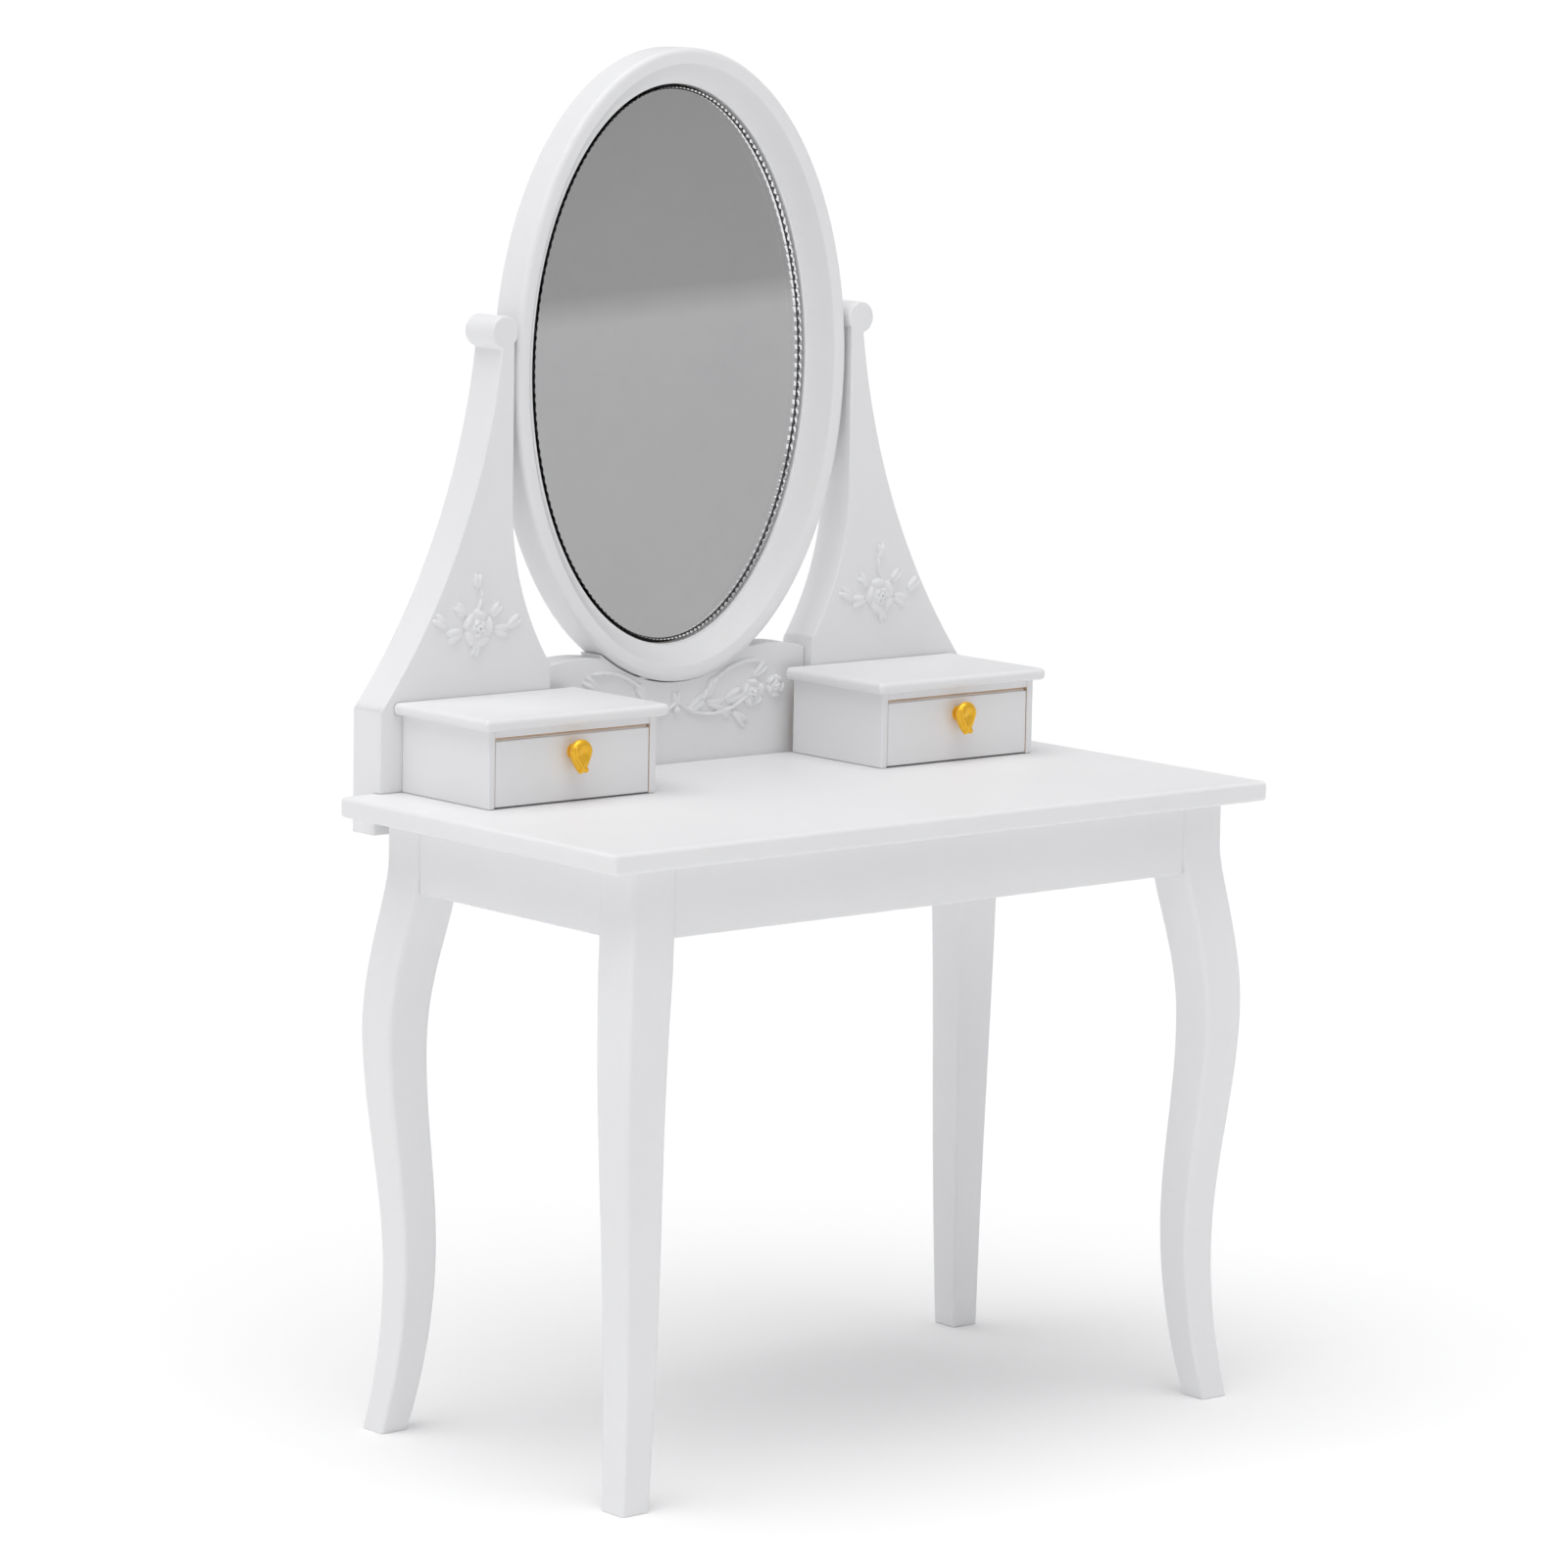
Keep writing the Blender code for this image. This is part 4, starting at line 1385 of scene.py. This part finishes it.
@dataclass
class OvalMirror:
    """The moulded oval frame, the acrylic plate with its silvering, the backing and the pins."""

    width: float = 3.6
    depth: float = 4.0
    corner: float = 0.6
    bead: float = 1.5
    bead_fall: float = 0.10
    quirk: Point = (0.30, 0.42)
    quirk_side: Point = (0.12, 0.20)
    quirk_edge: Point = (0.06, 0.04)
    lip: float = 0.22
    lip_depth: float = 2.3
    lip_edge: float = 0.06
    cove: float = 0.22
    cove_share: float = 0.55
    back_edge: float = 0.12
    plate_gap: float = 0.35
    backing_gap: float = 0.02
    coat_gap: float = 0.02
    coat_back: float = 0.06
    tooth_pitch: float = 0.87
    tooth_depth: float = 0.10
    tooth_points: int = 6
    steps: int = 224
    rim_steps: int = 240
    pin_arris: float = 0.1

    def section(self) -> list[Point]:
        """The moulding's section: across from the outer edge, and back from the front."""
        points = arc((self.corner, self.corner), self.corner, 180.0, 270.0, 6)
        crown_width = self.bead - self.corner
        for step in range(1, 5):
            share = step / 4
            fall = self.bead_fall * share * share
            points.append((self.corner + crown_width * share, fall))
        across, back = self.bead + self.quirk[0], self.quirk[1]
        points.append((self.bead + self.quirk_side[0], self.quirk_side[1]))
        points.append((across - self.quirk_edge[0], back - self.quirk_edge[1]))
        run = self.width - self.lip - across
        fall = self.lip_depth - back
        for step in range(9):
            share = step / 8
            sag = self.cove * math.sin(math.pi * share)
            points.append((across + run * share, back + fall * share + sag * self.cove_share))
        points.append((self.width - self.lip_edge, self.lip_depth))
        points.append((self.width, self.lip_depth + self.lip_edge))
        points.append((self.width, self.depth))
        points.append((self.back_edge, self.depth))
        points.append((0.0, self.depth - self.back_edge))
        return points

    def build_frame(self, half: float, tall: float, middle: float, front: float) -> None:
        """Spin the section in a circle, then lay the ring on the oval.

        Args:
            half: half the frame's width.
            tall: half its height.
            middle: Z of its middle.
            front: Y of its front.
        """
        section = self.section()
        frame = add_loop("mirror_frame_moulding", len(section), "NOTHING")
        for vert, (across, back) in zip(frame.data.vertices, section):
            vert.co = (half - across, front + back, 0.0)
        with editing(frame):
            bpy.ops.mesh.select_all(action="SELECT")
            centre, axis = (0.0, 0.0, 0.0), (0.0, 1.0, 0.0)
            bpy.ops.mesh.spin(steps=self.steps, angle=math.tau, center=centre, axis=axis)
        for vert in frame.data.vertices:
            angle = math.atan2(vert.co.z, vert.co.x)
            across = half - math.hypot(vert.co.x, vert.co.z)
            x, z = self.oval(half, tall, angle, across)
            vert.co = (x, vert.co.y, z + middle)
        face_outwards(frame)
        polish(frame, 38.0)
        dress(frame, PAINT_UPRIGHT, Body.MIRROR, "mirror_frame")

    @staticmethod
    def oval(half: float, tall: float, angle: float, inset: float) -> Point:
        """A point at a distance inside an oval.

        Args:
            half: half the oval's width.
            tall: half its height.
            angle: the point's parameter on the oval, in radians.
            inset: how far inside the oval it lies.

        Returns:
            Its X and Z from the oval's middle.
        """
        normal = Vector((math.cos(angle) / half, math.sin(angle) / tall)).normalized()
        return half * math.cos(angle) - inset * normal.x, tall * math.sin(angle) - inset * normal.y

    def rim(self, half: float, tall: float, middle: float, inset: float) -> list[Point]:
        """Points round the frame's oval, at a distance inside it.

        Args:
            half: half the frame's width.
            tall: half its height.
            middle: Z of its middle.
            inset: how far inside the oval they lie.

        Returns:
            The points, in X and Z.
        """
        points = []
        for step in range(self.rim_steps):
            x, z = self.oval(half, tall, math.tau * step / self.rim_steps, inset)
            points.append((x, z + middle))
        return points

    def build_plate(self, half: float, tall: float, middle: float) -> None:
        """Cut the acrylic plate with its saw marks, and lay the silvering behind it.

        Args:
            half: half the frame's width.
            tall: half its height.
            middle: Z of its middle.
        """
        low, high = box("mirror_plate")
        around = math.tau * math.sqrt((half**2 + tall**2) / 2)
        points = round(around / self.tooth_pitch) * self.tooth_points
        outline = []
        for step in range(points):
            angle = math.tau * step / points
            wave = math.cos(math.tau * step / self.tooth_points)
            tooth = self.tooth_depth * (0.5 - 0.5 * wave)
            x, z = self.oval(half, tall, angle, self.width + self.plate_gap + tooth)
            outline.append((x, z + middle))
        plate = add_plate("mirror_plate_acrylic", outline, low.y, high.y)
        dress(plate, CLEAR, Body.MIRROR, "mirror_plate")
        inset = self.width + self.plate_gap + 2 * self.tooth_depth
        rim = self.rim(half, tall, middle, inset)
        coat_front, coat_back = high.y + self.coat_gap, high.y + self.coat_back
        coat = add_plate("mirror_silvering", rim, coat_front, coat_back)
        dress(coat, SILVER, Body.MIRROR)

    def build_backing(self, half: float, tall: float, middle: float) -> None:
        """Cut the backing board, bare behind, with near-black painted shade on its face towards the
        plate, for the gap round the plate.

        Args:
            half: half the frame's width.
            tall: half its height.
            middle: Z of its middle.
        """
        low, high = box("mirror_backing")
        rim = self.rim(half, tall, middle, self.width + self.backing_gap)
        backing = add_plate("mirror_backing_board", rim, low.y, high.y)
        ease(backing, 0.08, 2, 60.0)
        dress(backing, WOOD_UPRIGHT, Body.MIRROR, "mirror_backing")
        # The face towards the plate gets near-black painted shade, standing in for the shadow in
        # the gap round the plate.
        tint(backing, PAINTED_GAP_SHADE, lambda face: face.normal.y < -0.5)

    def build_pins(self) -> None:
        """Turn the two pins that the frame tilts on."""
        for side in Side:
            node = f"pivot_pin_{side.word}"
            low, high = box(node)
            radius, long = (high.z - low.z) / 2, high.x - low.x
            pin = add_rod(f"{node}_turned", (low + high) / 2, radius, long, ALONG_X)
            ease(pin, self.pin_arris, 3, 50.0)
            dress(pin, STEEL, Body.ROOT, node)

    def build(self) -> None:
        """Model and dress the whole mirror."""
        low, high = box("mirror_frame")
        half, tall = high.x, (high.z - low.z) / 2
        middle = (low.z + high.z) / 2
        self.build_frame(half, tall, middle, low.y)
        self.build_plate(half, tall, middle)
        self.build_backing(half, tall, middle)
        self.build_pins()


# ------------------------------------------------------------------ the drawer units


@dataclass
class DrawerUnit:
    """A small case with its lid, and the drawer with its gilt knob."""

    side: Side
    wall_arris: float = 0.16
    wall_grow: tuple[float, float, float] = (0.0, 0.08, 0.08)
    back_grow: tuple[float, float, float] = (0.1, 0.05, 0.05)
    ceiling_grow: tuple[float, float, float] = (0.1, 0.0, 0.05)
    lid_corner: float = 0.5
    lid_nosing: float = 0.52
    lid_sink: float = 0.1
    front_arris: float = 0.12
    front_spare: tuple[float, float, float] = (0.14, 0.14, 0.34)
    lip_step: float = 0.02
    lip_back: float = 0.32
    tray_arris: float = 0.08
    tray_grow: float = 0.08
    knob_width: float = 2.6
    knob_depth: float = 1.5
    knob_rise: float = 1.3
    knob_drop: float = 2.0
    knob_taper: float = 0.38
    dish_place: Point = (0.12, -0.05)
    dish_radius: float = 0.75
    dish_depth: float = 0.42
    crests: tuple[tuple[float, float, float], ...] = (
        (-0.92, 0.15, 95.0),
        (-0.72, -0.62, 118.0),
        (-0.28, -1.25, 128.0),
    )
    crest_out: float = 0.50
    crest_radii: tuple[float, float, float] = (0.52, 0.26, 0.17)
    tips: tuple[Point, ...] = ((-0.16, 60.0), (0.30, -35.0))
    tip_out: float = 0.22
    tip_rise: float = 0.38
    tip_radii: tuple[float, float, float] = (0.42, 0.40, 0.30)
    stem_radius: float = 0.45
    stem_sink: float = 0.8
    collar_radius: float = 0.8
    collar_thick: float = 0.24
    skin_grid: float = 0.05

    def build_case(self) -> None:
        """Model and dress the case's sides, back and ceiling."""
        word, arris = self.side.word, self.tray_arris
        for wall in Wall:
            node = f"case_{word}_{wall.word}_side"
            board = EasedBoard(node, PAINT_UPRIGHT, arris=self.wall_arris, grow=self.wall_grow)
            inwards = wall.value * self.side.value
            tint(board.build(), WOOD_DEEP, lambda face, way=inwards: face.normal.x * way > 0.9)
        EasedBoard(f"case_{word}_back", WOOD_ACROSS, arris=arris, grow=self.back_grow).build()
        node = f"case_{word}_ceiling"
        ceiling = EasedBoard(node, PAINT_ACROSS, arris=arris, grow=self.ceiling_grow).build()
        tint(ceiling, WOOD_ACROSS, lambda face: face.normal.z < -0.9)

    def build_lid(self) -> None:
        """Model and dress the lid, bullnosed at its front and both ends."""
        node = f"lid_{self.side.word}"
        low, high = box(node)
        lid = add_block(f"{node}_board", low - Vector((0.0, 0.0, self.lid_sink)), high)

        def corner(start: Vector, end: Vector) -> bool:
            """Whether an edge is an upright front corner."""
            return abs(start.z - end.z) > 0.5 and start.y < low.y + 1.0

        def nosing(start: Vector, end: Vector) -> bool:
            """Whether an edge runs round the front or an end of the lid."""
            level = abs(start.z - end.z) < 0.01
            at_back = start.y > high.y - 0.01 and end.y > high.y - 0.01
            return level and not at_back

        with editing(lid, "EDGE"):
            pick_edges(lid, corner)
            bevel_edges(self.lid_corner, 6)
            pick_edges(lid, nosing)
            bevel_edges(self.lid_nosing, 6)
        face_outwards(lid)
        polish(lid)
        dress(lid, PAINT_ACROSS, Body.ROOT, node)

    def build_drawer(self) -> None:
        """Model and dress the drawer's front and its tray of bare boards."""
        word, body = self.side.word, self.side.drawer
        node = f"drawer_{word}_front"
        low, high = box(node)
        side, under, over = self.front_spare
        front_low, front_high = low - Vector((side, 0.0, under)), high + Vector((side, 0.0, over))
        front = add_block(f"{node}_board", front_low, front_high)
        step = high.z + self.lip_step
        rebate_low = (low.x - 1.0, low.y - 1.0, step)
        rebate_high = (high.x + 1.0, low.y + self.lip_back, step + 1.0)
        cut(front, add_block("rebate", rebate_low, rebate_high))
        ease(front, self.front_arris, 4)
        dress(front, PAINT_ACROSS, body, node)
        raw = (step + self.front_arris) * MM
        tint(front, WOOD_ACROSS, lambda face: face.center.z > raw or face.normal.y > 0.9)
        arris, grow = self.tray_arris, self.tray_grow
        for wall in Wall:
            node = f"drawer_{word}_{wall.word}_side"
            EasedBoard(node, WOOD_DEEP, body, arris, (0.0, grow, 0.0)).build()
        EasedBoard(f"drawer_{word}_back", WOOD_ACROSS, body, arris, (grow, 0.0, 0.0)).build()
        EasedBoard(f"drawer_{word}_bottom", WOOD_DEEP, body, arris, (grow, grow, 0.0)).build()

    def build_knob(self) -> None:
        """Model and dress the knob: a dished shell with three crests and a two-lobed tip."""
        node = f"knob_{self.side.word}"
        low, high = box(node)
        front = box(f"drawer_{self.side.word}_front")[0].y
        across, out = (low.x + high.x) / 2, low.y + self.knob_depth / 2
        centre = Vector((across, out, high.z - self.knob_rise))
        shell = add_primitive(
            "shell",
            bpy.ops.mesh.primitive_uv_sphere_add,
            segments=64,
            ring_count=40,
            radius=1.0,
        )
        for vert in shell.data.vertices:
            vert.co = centre + self.shell_point(vert.co)
        crest = []
        for across, up, turn in self.crests:
            place = centre + Vector((across, -self.crest_out, up))
            crest.append(add_ball("crest", place, self.crest_radii, turn))
        tips = []
        for across, turn in self.tips:
            place = centre + Vector((across, -self.tip_out, self.tip_rise - self.knob_drop))
            tips.append(add_ball("tip", place, self.tip_radii, turn))
        stem_back = front + self.stem_sink
        stem_middle = (centre.x, (centre.y + stem_back) / 2, centre.z)
        stem = add_rod("stem", stem_middle, self.stem_radius, stem_back - centre.y, ALONG_Y)
        collar_middle = (centre.x, front - self.collar_thick / 2, centre.z)
        collar = add_rod("collar", collar_middle, self.collar_radius, self.collar_thick, ALONG_Y)
        knob = fuse(f"{node}_cast", [shell, *crest, *tips, stem, collar], self.skin_grid, 1)
        select_only(knob)
        bpy.ops.object.shade_smooth()
        dress(knob, GILT, self.side.drawer, node)

    def shell_point(self, place: Vector) -> Vector:
        """Where a point of a unit ball goes on the shell.

        Args:
            place: the point on the ball.

        Returns:
            Its place from the knob's middle, in millimetres.
        """
        narrow = 1.0 + self.knob_taper * min(0.0, place.z)
        height = self.knob_rise if place.z > 0 else self.knob_drop
        across = place.x * self.knob_width / 2 * narrow
        out = place.y * self.knob_depth / 2
        if place.y < 0:
            aside = across - self.dish_place[0]
            above = place.z * height - self.dish_place[1]
            out += self.dish_depth * math.exp(-(aside**2 + above**2) / self.dish_radius**2)
        return Vector((across, out, place.z * height))

    def build(self) -> None:
        """Model and dress the whole unit."""
        self.build_case()
        self.build_lid()
        self.build_drawer()
        self.build_knob()


# ------------------------------------------------------------------ the whole object


def main() -> None:
    """Build the studio and every piece of the dressing table."""
    logging.basicConfig(level=logging.INFO, format="%(name)s: %(message)s")
    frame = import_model()
    log.info("frame of %d nodes", len(frame["nodes"]))
    Studio().build()
    Stand().build()
    for side in Side:
        Wing(side).build()
    CentrePanel().build()
    OvalMirror().build()
    for side in Side:
        DrawerUnit(side).build()


if __name__ == "__main__":
    main()
